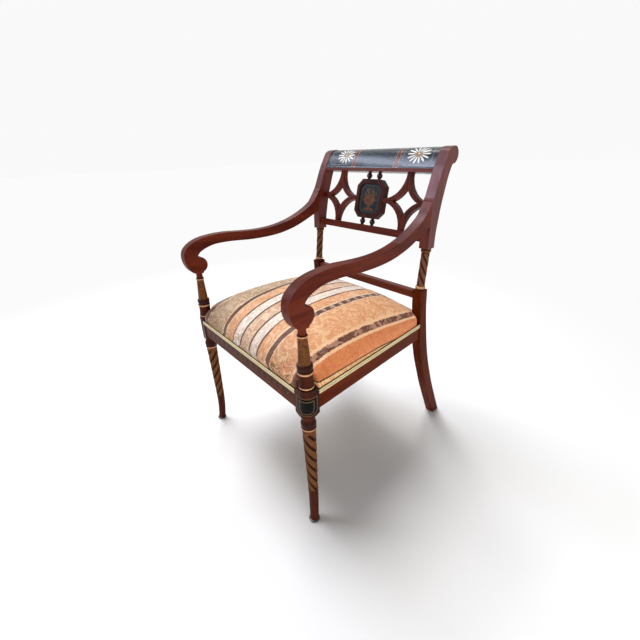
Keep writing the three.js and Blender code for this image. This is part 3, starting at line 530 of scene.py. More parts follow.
def plain_paint(name, dark, light, roughness, size, depth, **settings):
    """A painted or rubbed surface with a soft mottle."""
    made = Finish(name, roughness, **settings)
    mottle = made.noise(made.place(), size, 4, 0.6)
    return made.finished(made.ramp(mottle, ((0.3, dark), (0.7, light))), (mottle, depth, 0.5),
                         (mottle, roughness - 0.08, roughness + 0.12))


def twist_gilding(name, *tones):
    """Bronze-gold strands with dark grooves between them."""
    made = Finish(name, 0.42, IOR=1.15)
    sunk = Field(made, made.node("Attribute", attribute_name="sunk").outputs["Fac"])
    worn = made.noise(made.place(), 5, 4, 0.5)
    colour = made.ramp(sunk + (worn - 0.5) * 0.7, list(zip((0.0, 0.16, 0.4, 0.7), tones)))
    return made.finished(colour, (worn, 0.2, 0.5), (worn, 0.36, 0.58))


wood_x, wood_y, wood_z = (mahogany(axis) for axis in "XYZ")
arm_polish, stile_wood = (mahogany(axis, name="polished_mahogany", index=1.34) for axis in "YZ")
dull_y, dull_z = (mahogany(axis, ((57, 18, 4), (81, 29, 8), (101, 41, 14)), "dull_mahogany", 1.1)
                  for axis in "YZ")
deep_wood = mahogany("Z", ((40, 16, 9), (62, 26, 15), (84, 38, 24)), "deep_mahogany", 1.12)
tablet_wood = mahogany("Z", ((34, 14, 9), (56, 24, 16), (78, 36, 26)), "tablet_mahogany", 1.15)
back_wood = mahogany("X", ((82, 36, 24), (110, 54, 36), (132, 70, 48)), "faded_mahogany")
raw_wood = mahogany("X", ((150, 118, 80), (176, 142, 98), (196, 164, 120)), "plain_hardwood")
gilt = twist_gilding("gilt_twist", (106, 66, 35), (82, 45, 20), (50, 20, 9), (32, 12, 6))
rubbed_gilt = twist_gilding("rubbed_gilt_twist", (112, 74, 54), (90, 52, 36), (60, 28, 17), (42, 17, 10))
bright_gilt = plain_paint("bright_gilt", (162, 110, 66), (216, 166, 120), 0.36, 4, 0.1, IOR=1.4)
bronze = plain_paint("rubbed_bronze", (76, 42, 20), (118, 72, 38), 0.42, 6, 0.2, IOR=1.18)
dark_band = plain_paint("dark_band", (38, 17, 12), (62, 31, 23), 0.3, 6, 0.1, IOR=1.16)
ball_paint = plain_paint("dark_ball_spacers", (40, 18, 15), (60, 30, 27), 0.3, 8, 0.1, IOR=1.35,
                         Specular_Tint=sky_tint)
steel = plain_paint("dark_steel", (52, 50, 48), (92, 90, 86), 0.3, 5, 0.1, Metallic=1.0)


# Camera, floor and light

camera_place, camera_lens = (739.8, -364.63, 852.07), 19.6875
azimuth, elevation, roll = (radians(angle) for angle in (50.2, 25.45, -1.69))
daylight = (1.0, 0.99, 0.97)
# Each lamp has its name, place, target, size, power and colour, and whether it gives plain light
# and highlights. The sun's size is its angle in degrees, and a pane's its sides in metres.
lamps = (
    ("window", (-0.95, 0, 3.0), (0, 0, 0.4), 32, 2.2, daylight, True, True),
    ("high_sky", (-1.98, -0.15, 3.05), (0, 0.19, 0.83), (1.0, 1.0), 26, (0.76, 0.8, 1.0), True, False),
    ("low_sky", (-2.12, -2.15, 1.75), (0, 0.1, 0.75), (0.8, 0.8), 13, (0.78, 0.8, 1.0), True, True),
    ("side_window", (-1.9, 0.85, 2.3), (0, 0, 0.2), (0.8, 0.8), 20, daylight, True, False),
    ("stile_sheen", (-1.15, -1.54, 2.22), (0.2, 0.18, 0.8), (0.6, 0.8), 31, (0.9, 0.86, 1.0), False, True),
    ("crest_sheen", (-1.72, -0.98, 2.39), (0, 0.187, 0.83), (0.9, 0.3), 14, (0.84, 0.9, 1.0), False, True),
    ("room", (2.7, -1.35, 0.42), (0, 0, 0.42), (2.0, 0.7), 50, (1.0, 0.95, 0.9), True, False),
)


def set_camera():
    data = bpy.data.cameras.new("camera")
    data.sensor_width = 36
    data.lens = camera_lens
    turn = Matrix.Identity(4)
    for angle, axis in ((azimuth, "Z"), (pi / 2 - elevation, "X"), (roll, "Z")):
        turn = turn @ Matrix.Rotation(angle, 4, axis)
    scene.camera = add("camera", data)
    scene.camera.matrix_world = Matrix.Translation(at(*camera_place)) @ turn


def seen_rays(tree):
    """1 for the rays that meet the pale background: camera, glossy and transmission rays."""
    rays = tree.nodes.new("ShaderNodeLightPath").outputs
    seen = rays["Is Camera Ray"]
    for ray in ("Is Glossy Ray", "Is Transmission Ray"):
        either = tree.nodes.new("ShaderNodeMath")
        either.operation = "MAXIMUM"
        tree.links.new(seen, either.inputs[0])
        tree.links.new(rays[ray], either.inputs[1])
        seen = either.outputs[0]
    return seen


def mix_surfaces(tree, share, under, over, output):
    mixer = tree.nodes.new("ShaderNodeMixShader")
    for source, socket in zip((share, under.outputs[0], over.outputs[0]), mixer.inputs):
        tree.links.new(source, socket)
    tree.links.new(mixer.outputs[0], tree.nodes[output].inputs["Surface"])


def set_floor():
    """A white floor that takes the shadow near the chair and meets the backdrop far from it."""
    floor = begin("floor", bpy.ops.mesh.primitive_plane_add, size=60)
    close()
    made = Finish("white_floor", 0.9, Specular_IOR_Level=0)
    x, y, _ = made.split(made.place())
    away = x.hypot(y).above(900, 2300)
    made.put(made.shader.inputs["Base Color"], (250, 250, 250))
    backdrop = made.node("Emission")
    backdrop.inputs["Color"].default_value = srgb(251, 251, 251)
    share = away * Field(made, seen_rays(made.tree))
    mix_surfaces(made.tree, share.socket, made.shader, backdrop, "Material Output")
    floor.data.materials.append(made.material)


def set_world():
    """Faint room light on the chair, and a pale backdrop behind it."""
    scene.world = bpy.data.worlds.new("studio")
    scene.world.use_nodes = True
    tree = scene.world.node_tree
    room = tree.nodes["Background"]
    room.inputs["Color"].default_value = (0.9, 0.94, 1.0, 1)
    room.inputs["Strength"].default_value = 0.14
    backdrop = tree.nodes.new("ShaderNodeBackground")
    backdrop.inputs["Color"].default_value = srgb(249, 249, 249)
    mix_surfaces(tree, seen_rays(tree), room, backdrop, "World Output")


def add_lamp(name, place, target, size, power, colour, plain, shine):
    is_sun = isinstance(size, int)
    data = bpy.data.lights.new(name, "SUN" if is_sun else "AREA")
    if is_sun:
        data.angle = radians(size)
    else:
        assign(data, shape="RECTANGLE", size=size[0], size_y=size[1])
    lamp = add(name, assign(data, energy=power, color=colour))
    away = Vector(place) - Vector(target)
    lamp.matrix_world = Matrix.Translation(place) @ away.to_track_quat("Z", "Y").to_matrix().to_4x4()
    lamp.visible_diffuse, lamp.visible_glossy = plain, shine


set_camera()
set_floor()
set_world()
for lamp in lamps:
    add_lamp(*lamp)
scene.view_settings.view_transform = "Standard"


# Turned work: a disc raised ring by ring

groove_shares = (1.0, 0.62, 0.2)
strands = 4
turned_sides = 48
groove_depth = 1.1


def swell(foot, top, radius, proud, steps=8):
    """Stations of a round bead that swells to a radius."""
    middle, half = (foot + top) / 2, (top - foot) / 2
    angles = [pi * (i / steps - 0.5) for i in range(steps + 1)]
    return [(middle + half * sin(a), radius - proud + proud * cos(a)) for a in angles]


def even(foot, top, steps, low, high):
    """Stations of a straight taper."""
    return [(mix(foot, top, i / steps), mix(low, high, i / steps)) for i in range(steps + 1)]


def turned(name, stations, centre, sides=turned_sides, twist=None):
    """Stations are (height, radius) from the foot up, and a twist is (foot, top, lead)."""
    height, radius = stations[0]
    place = at(*centre(height), height)
    piece = begin(name, bpy.ops.mesh.primitive_circle_add, vertices=sides, radius=radius * mm,
                  fill_type="NGON", location=place)
    carved = None
    for height, new_radius in stations[1:]:
        before = place
        place = at(*centre(height), height)
        bpy.ops.mesh.extrude_region_move(TRANSFORM_OT_translate={"value": place - before})
        share = new_radius / radius
        bpy.ops.transform.resize(value=(share, share, 1), center_override=place)
        if twist:
            foot, top, lead = twist
            if foot < height <= top:
                rise = (place - before).z / mm
                bpy.ops.transform.rotate(value=2 * pi * rise / lead, orient_axis="Z",
                                         center_override=place)
            if foot < height < top and not carved:
                carved = [1 - part * groove_depth / new_radius for part in groove_shares]
                carve(piece, place, carved)
            if height >= top and carved:
                fill_out(piece, place, new_radius, carved)
                twist = None
        radius = new_radius
    close()
    settle(piece)
    smooth(piece)
    if carved:
        mark_sunk(piece, stations, centre, foot, top)
    return piece


def ring_of(piece, place):
    """The selected vertices and how they lie from the axis."""
    mesh = bmesh.from_edit_mesh(piece.data)
    mesh.verts.index_update()
    return {v.index: (v.co + piece.location - place).xy for v in mesh.verts if v.select}


def resize_some(piece, place, wanted, scale):
    choose(piece, lambda v: v.index in wanted)
    bpy.ops.transform.resize(value=(scale, scale, 1), center_override=place)


def carve(piece, place, scales):
    """Draws the vertices near each groove in towards the axis."""
    ring = ring_of(piece, place)
    per_strand = turned_sides // strands
    order = sorted(ring, key=lambda i: atan2(ring[i].y, ring[i].x))
    for step, scale in enumerate(scales):
        wanted = {i for k, i in enumerate(order)
                  if min(k % per_strand, per_strand - k % per_strand) == step}
        resize_some(piece, place, wanted, scale)
    choose(piece, lambda v: v.index in ring)


def fill_out(piece, place, radius, scales):
    """Brings the grooved vertices back out to the ring."""
    ring = ring_of(piece, place)
    for scale in scales:
        wanted = {i for i, away in ring.items() if abs(away.length / (radius * mm) - scale) < 0.004}
        resize_some(piece, place, wanted, 1 / scale)
    choose(piece, lambda v: v.index in ring)


def mark_sunk(piece, stations, centre, foot, top):
    """Notes how deep each vertex lies below the tops of the strands."""
    heights, radii = zip(*stations)
    marks = piece.data.attributes.new("sunk", "FLOAT", "POINT")
    for vertex, mark in zip(piece.data.vertices, marks.data):
        height = vertex.co.z / mm
        away = vertex.co - at(*centre(height), height)
        full = np.interp(height, heights, radii)
        if foot < height < top:
            mark.value = (full - away.xy.length / mm) / groove_depth


def zones(piece, *bands):
    """Gives each band of heights its finish: bands are (top, material), from the foot up."""
    for _, material in bands:
        piece.data.materials.append(material)
    for face in piece.data.polygons:
        height = face.center.z / mm
        face.material_index = next(i for i, (top, _) in enumerate(bands) if height <= top)


# Front legs and their glides

kick_top = 104
twist_foot, twist_top, leg_twist_lead = 104.6, 286, 130


def leg_centre(z):
    down = max(0, (block_foot - z) / block_foot)
    kick = max(0, (kick_top - z) / kick_top) ** 2
    return leg_x + 5.5 * down + 5 * kick, 2.5 * down - 6.5 * kick


def make_front_leg():
    stations = [
        *even(5.3, 101, 9, 11.0, 12.1), (101.6, 12.6), (103.4, 12.6), (104, 12.1),
        *even(twist_foot, twist_top, 80, 12.2, 15.8), (287, 16.0), (288.4, 16.1), (289.2, 15.7),
        (295, 15.7), (295.8, 16.2), *swell(296.6, 300.7, 17.6, 1.0), (301.3, 16.0),
        *swell(302.1, 319.2, 17.8, 3.4, 14), (319.8, 15.2), (321.5, 14.7), (324, 14.6), (327, 15.1),
        (330, 16.1), (block_foot, 17), (block_foot + 2, 17),
    ]
    leg = turned("front_leg_turning_right", stations, leg_centre,
                 twist=(twist_foot, twist_top, leg_twist_lead))
    zones(leg, (101.2, deep_wood), (104.4, dark_band), (twist_top + 0.5, gilt), (295.4, bronze),
          (297.2, dark_band), (300.2, bright_gilt), (320, dark_band), (340, deep_wood))
    return leg


def make_block():
    """The block over the turning, with its outer front corner rounded."""
    height = block_top - block_foot
    block = begin("front_leg_block_right", bpy.ops.mesh.primitive_cube_add, size=1,
                  location=at(leg_x, 0, block_foot + height / 2))
    bpy.ops.transform.resize(value=(2 * half_block * mm, 2 * half_block * mm, height * mm))
    close()
    settle(block)
    edit(block, "EDGE")
    corner = at(leg_x + half_block, -half_block, 0)
    choose(block, lambda e: all((v.co.xy - corner.xy).length < mm for v in e.verts), "EDGE")
    bpy.ops.mesh.bevel(offset=(half_block - 0.05) * mm, segments=14, affect="EDGES")
    close()
    reach = half_block * sqrt(2)
    shoulders = turned("shoulders", [(block_foot, 17), (block_foot + 9, reach), (block_top - 4.5, reach),
                                     (block_top, half_block + 1.5)], lambda z: (leg_x, 0), 96)
    modify(block, "BOOLEAN", operation="INTERSECT", object=shoulders, solver="EXACT")
    bpy.data.objects.remove(shoulders)
    merge(block, 0.05)
    round_edges(block, 0.7, segments=2, angle=35)
    return block


front_leg = make_front_leg()
front_block = make_block()
finish_pair(front_leg, "gilt_twist", "front_leg")
finish_pair(front_block, "gilt_twist", "front_leg", [block_paint()])

glide = turned("glide_right", [(0, 9.5), (0.6, 11.5), (1.6, 13.3), (2.6, 14), (3.6, 14), (4.4, 13.4),
                               (5.0, 11.8), (5.2, 8)], lambda z: leg_centre(0), 40)
finish_pair(glide, "steel", "front_glide", [steel])


# Arm supports and rear posts

support_height, post_height, joint_gap = 139.4, 113.4, 0.3
post_twist_lead = 110


def support_centre(z):
    return mix(leg_x, support_top_x, (z - block_top) / 140), 0


def make_support():
    def up(share):
        return block_top + joint_gap + share * support_height
    stations = [
        (up(0), 16.6), *swell(up(0.015), up(0.07), 17.6, 1.0), (up(0.078), 16.6), (up(0.1), 16.2),
        (up(0.17), 15.7), (up(0.24), 16.2), *swell(up(0.255), up(0.305), 17.6, 1.1), (up(0.312), 15.6),
        (up(0.318), 15.1), *swell(up(0.325), up(0.415), 17.6, 2.6, 12), (up(0.425), 12.8),
        (up(0.435), 12.7), (up(0.45), 13.4), *even(up(0.47), up(0.82), 6, 13.3, 10.1), (up(0.84), 10),
        *swell(up(0.85), up(0.89), 11.5, 1.2), (up(0.9), 9.5), (up(0.93), 8.7), (up(0.955), 8.6),
        (up(0.98), 8.9), (up(1), 9.4),
    ]
    support = turned("arm_support_turning_right", stations, support_centre)
    zones(support, (up(0.012), dark_band), (up(0.046), bright_gilt), (up(0.08), dark_band),
          (up(0.25), deep_wood), (up(0.288), bright_gilt), (up(0.42), dark_band), (up(0.856), bronze),
          (up(0.88), bright_gilt), (up(0.9), dark_band), (up(1.1), wood_z))
    return support


def post_centre(z):
    return rear_x, mix(437, 447, (z - post_foot) / (post_top - post_foot))


def make_post():
    def up(share):
        return post_foot + joint_gap + share * post_height
    stations = [
        (up(0), 12.6), (up(0.02), 13), *swell(up(0.03), up(0.08), 13.6, 1.2), (up(0.09), 11.6),
        (up(0.1), 11), *even(up(0.11), up(0.89), 56, 11.2, 11), (up(0.9), 11), (up(0.91), 11.6),
        *swell(up(0.92), up(0.97), 13.6, 1.2), (up(0.98), 12.8), (up(1), 12.8),
    ]
    post = turned("rear_post_turning_right", stations, post_centre,
                  twist=(up(0.11), up(0.885), post_twist_lead))
    zones(post, (up(0.025), dark_band), (up(0.085), bright_gilt), (up(0.105), dark_band),
          (up(0.893), rubbed_gilt), (up(0.915), dark_band), (up(0.975), bronze), (up(1.1), dark_band))
    return post


finish_pair(make_support(), "mahogany", "arm_support")
finish_pair(make_post(), "gilt_twist", "rear_post")


# Boards and rails: the frame's own shapes with their arrises rounded

arm_end, arm_polish_start = 431.5, 300


def dress(node, name, material, width=1.4, slot="mahogany"):
    """A rail or board with its arrises rounded to a width."""
    piece = shape_of(node, name)
    round_edges(piece, width)
    finish(piece, slot, node, finishes=[material])


def dress_arm(node, name):
    """The arm's arrises are rounded up to where it meets the stile, and left sharp there."""
    piece = shape_of(node, name)
    edit(piece, "EDGE")
    spare = at(0, arm_end - 3, 0).y
    choose(piece, lambda e: e.is_manifold and e.calc_face_angle() > radians(30)
           and max(v.co.y for v in e.verts) < spare, "EDGE")
    bpy.ops.mesh.bevel(offset=1.8 * mm, segments=3, affect="EDGES")
    close()
    even_normals(piece)
    finish(piece, "mahogany", node, finishes=[wood_y, arm_polish])
    polished = at(0, arm_polish_start, 0).y
    for face in piece.data.polygons:
        face.material_index = int(face.center.y > polished and face.normal.z > 0.2)


for side in ("right", "left"):
    dress_arm(f"arm_{side}", f"scrolled_arm_{side}")
    dress(f"stile_{side}", f"back_stile_{side}", stile_wood, width=1.6)
    dress(f"rear_leg_{side}", f"sabre_leg_{side}", dull_z)
    dress(f"side_rail_{side}", f"side_seat_rail_{side}", dull_y, width=0.9)
    for where in ("upper_outer", "upper_inner", "lower_outer", "lower_inner"):
        dress(f"lath_{where}_{side}", f"curved_lath_{where}_{side}", wood_z, width=0.9)

dress("front_rail", "front_seat_rail", rail_paint(), width=0.9)
dress("lattice_rail", "lattice_foot_rail", wood_x)
dress("lower_back_rail", "back_cross_rail", back_wood, width=1.8)
dress("tablet_frame", "tablet_surround", tablet_wood, width=1.3)
dress("tablet_panel", "tablet_picture", tablet_paint(), width=0.5, slot="ebonised")


# Crest rail

crest_sweep = ((457.2, 795), (460.2, 801.9), (463.2, 808.5), (466.3, 815), (472.8, 827), (479.7, 839.7),
               (483.3, 846.5), (487.3, 852), (490.7, 854.8), (494.3, 856.9), (502.9, 859.7))
scroll_y, scroll_z, scroll_radius = 512.8, 840.5, 20.5
lip_back, lip_top = at(0, 475, 0).y, 810 * mm


def chart_crest(piece):
    """Maps the crest rail by its length and by the distance over its front and top."""
    roll_angles = np.radians(90 - 10 * np.arange(19))
    scroll = np.stack([scroll_y + scroll_radius * np.cos(roll_angles),
                       scroll_z + scroll_radius * np.sin(roll_angles)], 1)
    path = np.concatenate([crest_sweep, scroll])
    steps = np.diff(path, axis=0)
    lengths = np.hypot(*steps.T)
    starts = np.concatenate([[0], np.cumsum(lengths)[:-1]])
    chart = piece.data.uv_layers.new(name="chart")
    for loop in piece.data.loops:
        co = piece.data.vertices[loop.vertex_index].co / mm
        point = np.array((co.y - axis_y, co.z))
        share = np.clip(((point - path[:-1]) * steps).sum(1) / lengths ** 2, 0, 1)
        gaps = np.hypot(*(path[:-1] + share[:, None] * steps - point).T)
        nearest = gaps.argmin()
        along = starts[nearest] + share[nearest] * lengths[nearest]
        chart.data[loop.index].uv = (co.x * mm, along * mm)


crest = shape_of("crest_rail", "painted_crest_rail")
round_edges(crest, 0.7, segments=2)
chart_crest(crest)
finish(crest, "ebonised", "crest_rail", finishes=[crest_paint(), wood_x])
for face in crest.data.polygons:
    face.material_index = int(face.center.z < lip_top and face.center.y < lip_back)


# Ball spacers

ball_radius, ball_neck = 8.3, 4.0
ball_collar = ball_neck + 1.6
lathe_height = 700
ball_levels = {"upper": (tablet_rise + tablet_half_height, lattice_height),
               "lower": (lattice_foot, tablet_rise - tablet_half_height)}


def make_ball(where, foot, top):
    """A ball with a neck at each end that stands between two levels of the lattice."""
    low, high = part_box(f"ball_{where}")
    middle = lean_point((low.x + high.x) / 2 / mm, (foot + top) / 2)
    half = (top - foot) / 2 + 0.6
    arc = [radians(a) for a in range(-60, 61, 10)]
    stations = [(-half, ball_collar), (-half + 1.8, ball_collar), (-half + 2.4, ball_neck),
                *((ball_radius * sin(a), ball_radius * cos(a)) for a in arc),
                (half - 2.4, ball_neck), (half - 1.8, ball_collar), (half, ball_collar)]
    ball = turned(f"ball_spacer_{where}", [(z + lathe_height, r) for z, r in stations],
                  lambda z: (0, 0), 32)
    ball.data.transform(Matrix.Translation(-at(0, 0, lathe_height)))
    ball.data.transform(Matrix.Translation(middle) @ Matrix.Rotation(-lean, 4, "X"))
    finish(ball, "ebonised", f"ball_{where}", finishes=[ball_paint])


for row, levels in ball_levels.items():
    for side in ("right", "left"):
        make_ball(f"{row}_{side}", *levels)


# Seat

seat_middle, seat_reach = 222.75, 238.25
seat_edge, seat_crown = 410, 87
wall_drop = 14
pad_foot = 398.7
held_top, held_fade = 420, 12
cloth_steps = 20
swell_limit = 4.0


def seat_half(y):
    return 267.5 - side_slope * y


def fall(share, power):
    """From 1 in the middle to 0 at the edge."""
    return (1 - np.minimum(1, np.abs(share)) ** power) ** (1 / power)


def seat_top(x, y):
    return seat_edge + seat_crown * fall(x / seat_half(y), 2.6) * fall((y - seat_middle) / seat_reach, 2.15)


def cushion_shell():
    """The outside of the seat with its walls drawn down, and closed below."""
    piece = shape_of("seat_cover", "seat_cushion")
    middle = at(0, seat_middle, rail_top)
    edit(piece, "FACE")
    choose(piece, lambda f: f.normal.dot(f.calc_center_median() - middle) < 0 or f.normal.z < -0.5, "FACE")
    bpy.ops.mesh.delete(type="FACE")
    choose(piece, lambda e: e.is_boundary, "EDGE")
    bpy.ops.mesh.extrude_edges_move(TRANSFORM_OT_translate={"value": (0, 0, -wall_drop * mm)})
    bpy.ops.mesh.edge_face_add()
    face_outwards()
    return piece


def trim_foot(piece):
    """Cuts the cushion off level where it rests on the webbing and meets the gimp."""
    edit(piece)
    take_all()
    bpy.ops.mesh.bisect(plane_co=at(0, 0, pad_foot), plane_no=(0, 0, 1), clear_inner=True, use_fill=True)
    close()


def plump(piece):
    """Lets the cloth swell a little under the stuffing's pressure, held at its foot."""
    held = piece.vertex_groups.new(name="held")
    before = [v.co.copy() for v in piece.data.vertices]
    for vertex in piece.data.vertices:
        height = vertex.co.z / mm
        held.add([vertex.index], float(np.clip((held_top - height) / held_fade, 0, 1)), "REPLACE")
    activate(piece)
    modifier = piece.modifiers.new("cloth", "CLOTH")
    cloth = assign(modifier.settings, quality=5, mass=0.3, use_pressure=True, uniform_pressure_force=4,
                   tension_stiffness=20, compression_stiffness=20, bending_stiffness=2,
                   vertex_group_mass="held")
    cloth.effector_weights.gravity = 0
    assign(modifier.point_cache, frame_start=1, frame_end=cloth_steps)
    for step in range(1, cloth_steps + 1):
        scene.frame_set(step)
    bpy.ops.object.modifier_apply(modifier="cloth")
    scene.frame_set(1)
    for vertex, start in zip(piece.data.vertices, before):
        move = vertex.co - start
        if move.length > swell_limit * mm:
            vertex.co = start + move * (swell_limit * mm / move.length)


def distance_along(level, height, at_level, at_height):
    """The length of a section's curve up to the point nearest each vertex, and on down its wall."""
    steps = np.hypot(np.diff(level, axis=1), np.diff(height, axis=1))
    lengths = np.concatenate([np.zeros((len(level), 1)), np.cumsum(steps, axis=1)], axis=1)
    gaps = (level - at_level[:, None]) ** 2 + (height - at_height[:, None]) ** 2
    nearest = gaps.argmin(axis=1)
    rows = np.arange(len(level))
    below = np.maximum(0, np.minimum(height[:, 0], height[:, -1]) - at_height)
    middle = nearest > level.shape[1] * 0.5
    return lengths[rows, nearest] + np.where(middle, below, -below)


def chart_seat(piece):
    """Maps the cover by the cloth's own measures: across from the middle, and front to back."""
    co = np.empty(len(piece.data.vertices) * 3)
    piece.data.vertices.foreach_get("co", co)
    co = co.reshape(-1, 3) / mm
    x, y, z = np.abs(co[:, 0]), co[:, 1] - axis_y, co[:, 2]
    wide = seat_half(y)[:, None] * np.sin(np.linspace(0, pi / 2, 120))
    across = distance_along(wide, seat_top(wide, y[:, None]), x, z)
    # The stripes spread a little towards the back corners.
    across = (across + 12 * np.clip((y - 300) / 130, 0, 1) ** 2 * x / 220) * np.sign(co[:, 0])
    deep = seat_middle + seat_reach * np.sin(np.linspace(-pi / 2, pi / 2, 160))
    rise = seat_top(np.minimum(x, seat_half(y) * 0.98)[:, None], deep[None, :] + 0 * x[:, None])
    along = distance_along(np.broadcast_to(deep, rise.shape), rise, y, z)
    chart = piece.data.uv_layers.new(name="chart")
    corners = np.empty(len(piece.data.loops), int)
    piece.data.loops.foreach_get("vertex_index", corners)
    chart.data.foreach_set("uv", (np.stack([across, along], 1)[corners] * mm).ravel())


def damask():
    """Woven stripes that run front to back, some with leaf figures and some plain."""
    made = Finish("striped_damask", 0.5, Sheen_Weight=0.12, Sheen_Roughness=0.4, IOR=1.3)
    chart = made.chart()
    across, along, _ = made.split(chart)

    peach, pale, orange = (224, 156, 108), (246, 200, 156), (226, 140, 88)
    cream, white, beige = (242, 216, 182), (252, 242, 228), (192, 156, 120)
    silver, straw, rust = (228, 206, 188), (232, 208, 176), (208, 118, 70)
    dark, brown, rose = (66, 34, 27), (84, 42, 34), (174, 128, 108)
    blush = (214, 168, 140)
    # Where each stripe starts across the seat, its ground, and its figure where it has one.
    stripes = (
        (-320, orange, rust), (-245, pale), (-237, rose, brown), (-215, dark), (-204, cream),
        (-200, beige, straw), (-106, cream), (-102, brown), (-85.5, cream), (-82, peach, pale),
        (-45, dark), (-40.5, white, silver), (-9, dark), (-4.5, blush, cream), (37.5, dark),
        (42, white, silver), (71, dark), (75.5, peach, pale), (109.5, cream), (113, brown),
        (128.5, cream), (132, peach, pale), (211, pale), (220.5, rose, brown), (237, pale),
        (245, orange, rust),
    )
    span = 640
    ground, figure = (
        made.ramp(across / span + 0.5, [(stripe[0] / span + 0.5, stripe[k]) for stripe in stripes], hard=True)
        for k in (1, -1))
    # Leaf scrolls: the level lines of a slow noise, which curl round each other.
    bent = made.join(across + made.noise(chart, 34, 1) * 80, along + made.noise(chart, 46, 1) * 80)
    curls = made.sum("SINE", made.noise(bent, 30, 0.5, 1.4) * 38).above(0.3, 0.55)
    leaf = curls.over(made.noise(bent, 18, 0, 0.6).above(0.6, 0.63)) * 0.85
    # Brown leaves in the outer stripes and broken blocks in the narrow one.
    outer = (across.abs() - 228.75).near(8, 8.3)
    veins = (made.noise(bent, 10, 0, 0.8) - 0.5).abs().above(0.015, 0.035)
    brown_leaf = (made.noise(bent, 18, 1, 0.6) + along.wave(78) * 0.12).above(0.4, 0.42) * outer * veins
    narrow = (across - 120.75).near(6.6, 7) * along.above(150, 220)
    checks = (along.wave(29) + made.noise(chart, 7, 2) * 1.6).above(1.1, 1.3) * narrow
    satin = made.noise(made.stretch(chart, (1, 0.06, 1)), 1.2, 2)
    x, y, z = made.split(made.place(at(0, 0, 0)))
    # Gold-brown scrolls, denser and darker towards the foot of the front: figure in the cloth, and painted
    # shade where the front falls to the gimp.
    shadow_leaf = (made.noise(bent, 11, 1, 1.5) - 0.5).near(0.045, 0.09)
    broad = (across - 170).near(36, 40).over((across + 152).near(44, 48))
    low_front = z.below(414, 470) * y.below(10, 60)
    scrolls_and_painted_shade = (shadow_leaf * 0.8 + 0.2) * low_front * (broad * 0.4 + 0.6)
    # On the side walls a seam parts the cover from a beige strip that runs out towards the back.
    wall = (x.abs() + y * side_slope).above(244, 246)
    back = ((y - 200) / 180).over(0)
    seam = back * back * -18 + y * -0.028 + 414 - z
    strip_colour = made.layers((214, 158, 104), (leaf, (238, 202, 152)))
    stitches = y.wave(9).above(-0.9, -0.3) * 0.35 + 0.65
    # The dark stitched line along the seam is painted shadow in the seam's crease.
    seam_shadow_line = seam.near(1.4, 2.4) * wall * stitches
    colour = made.layers(
        ground, (leaf * outer.inverse(), figure), (scrolls_and_painted_shade, (110, 72, 38)), (brown_leaf, brown),
        (checks, (190, 158, 138)), (satin.above(0.45, 0.75) * 0.18, (196, 150, 104)),
        (seam.above(-0.4, 0.4) * wall, strip_colour), (seam_shadow_line, (58, 25, 16)),
        (made.noise(chart, 60, 3).above(0.4, 0.75) * 0.14, (206, 132, 88)))
    thread = across.wave(0.9) * along.wave(1.1)
    pucker = made.noise(made.stretch(made.place(), (1, 1, 0.12)), 13, 2) * wall
    gathered = seam.near(2, 40) * 3 + 1.5
    relief = leaf * 0.5 + thread * 0.12 + satin * 0.25 + pucker * gathered - seam_shadow_line * 2.5
    return made.finished(colour, (relief, 0.5, 0.6), (leaf, 0.58, 0.38))


def linen(name):
    made = Finish(name, 0.85, Sheen_Weight=0.2)
    place = made.place()
    x, y, _ = made.split(place)
    weave = x.wave(pi / 2) * y.wave(pi / 2)
    mottle = made.noise(place, 12, 3)
    colour = made.ramp(mottle, ((0.3, (176, 158, 124)), (0.7, (206, 190, 154))))
    return made.finished(colour, (weave * 0.3 + mottle * 0.5, 0.4, 0.6))


cushion = cushion_shell()
modify(cushion, "REMESH", mode="VOXEL", voxel_size=5 * mm, use_smooth_shade=True)
modify(cushion, "SMOOTH", factor=0.5, iterations=4)
plump(cushion)
modify(cushion, "SUBSURF", levels=1, render_levels=1)
trim_foot(cushion)
chart_seat(cushion)
smooth(cushion, 60)
finish(cushion, "damask", "seat_cover", "seat_pad", finishes=[damask(), linen("pad_linen")])
for face in cushion.data.polygons:
    face.material_index = int(face.normal.z < -0.8)


# Gimp: two twisted cords side by side along each rail

gimp_foot, gimp_height, gimp_pitch = 387.5, 12, 8.0
cord_radius, cord_depth = 3.0, 3.4
front_face, rear_face, side_face = -16.5, 462, 268.5
rail_gap, end_gap, half_rear_leg = 0.4, 0.8, 14


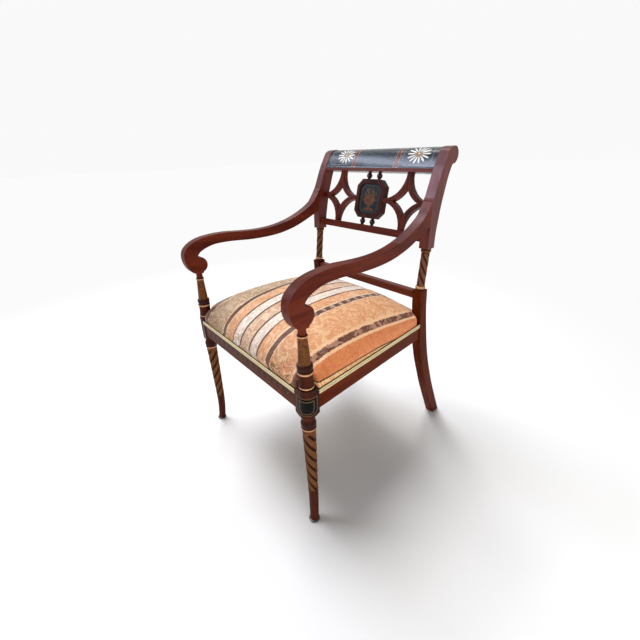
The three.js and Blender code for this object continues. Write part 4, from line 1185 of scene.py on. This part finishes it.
def braid():
    made = Finish("gimp_braid", 0.6, Sheen_Weight=0.3)
    place = made.place()
    x, y, z = made.split(place)
    strand = made.sum("SINE", (x + y) * 2.1 + z * 1.6) * 0.5 + 0.5
    twist = strand * 0.45 + made.noise(place, 3, 3) * 0.55
    colour = made.ramp(twist, ((0.2, (168, 144, 92)), (0.45, (226, 206, 152)), (0.8, (246, 234, 194))))
    return made.finished(colour, (strand + made.noise(place, 0.8, 2) * 0.4, 0.5, 0.8))


gimp_finish = braid()


def make_gimp(side, start, end, outward):
    """Two cords from start to end, flattened against the rail they are glued to."""
    run = end - start
    turns = round(run.length / mm / gimp_pitch)
    cord = begin(f"gimp_cords_{side}", bpy.ops.mesh.primitive_circle_add, vertices=10,
                 radius=cord_radius * mm)
    bpy.ops.transform.resize(value=(1, 0.66, 1))
    close()
    modify(cord, "SCREW", angle=2 * pi, screw_offset=run.length / turns, iterations=turns, steps=8,
           render_steps=8, use_merge_vertices=False)
    edit(cord)
    choose(cord, lambda e: e.is_boundary, "EDGE")
    bpy.ops.mesh.edge_face_add()
    take_all()
    bpy.ops.mesh.duplicate_move(TRANSFORM_OT_translate={"value": (0, 2 * cord_radius * mm, 0)})
    close()
    along, out, up = run.normalized(), outward.normalized(), Vector((0, 0, 1))
    seat = Matrix((out * cord_depth / (2 * cord_radius), up, along)).transposed().to_4x4()
    lift = up * (gimp_foot + gimp_height / 2 - cord_radius) * mm
    cord.data.transform(Matrix.Translation(start + lift + out * cord_depth / 2 * mm) @ seat)
    edit(cord)
    face_outwards()
    smooth(cord, 60)
    finish(cord, "gimp", f"gimp_{side}", finishes=[gimp_finish])


for side, sign, face, half in (("front", -1, front_face, leg_x - half_block - end_gap),
                               ("rear", 1, rear_face, rear_x - half_rear_leg - end_gap)):
    make_gimp(side, *(at(x, face + sign * rail_gap, 0) for x in (-half, half)), Vector((0, sign, 0)))
side_ends = [corner.y / mm - axis_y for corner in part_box("gimp_side_right")]
for side, sign in (("side_right", 1), ("side_left", -1)):
    ends = [at(sign * (side_face - side_slope * y + rail_gap), y, 0) for y in side_ends]
    make_gimp(side, *ends, Vector((sign, side_slope, 0)))


# Inside the seat frame

hidden_finishes = {"seat_webbing": linen("jute_webbing"), "rear_rail": wood_x,
                   "corner_block": raw_wood, "corner_screw": steel}
for name, node in nodes.items():
    for part, material in hidden_finishes.items():
        if part in name:
            node.data.materials.clear()
            node.data.materials.append(material)
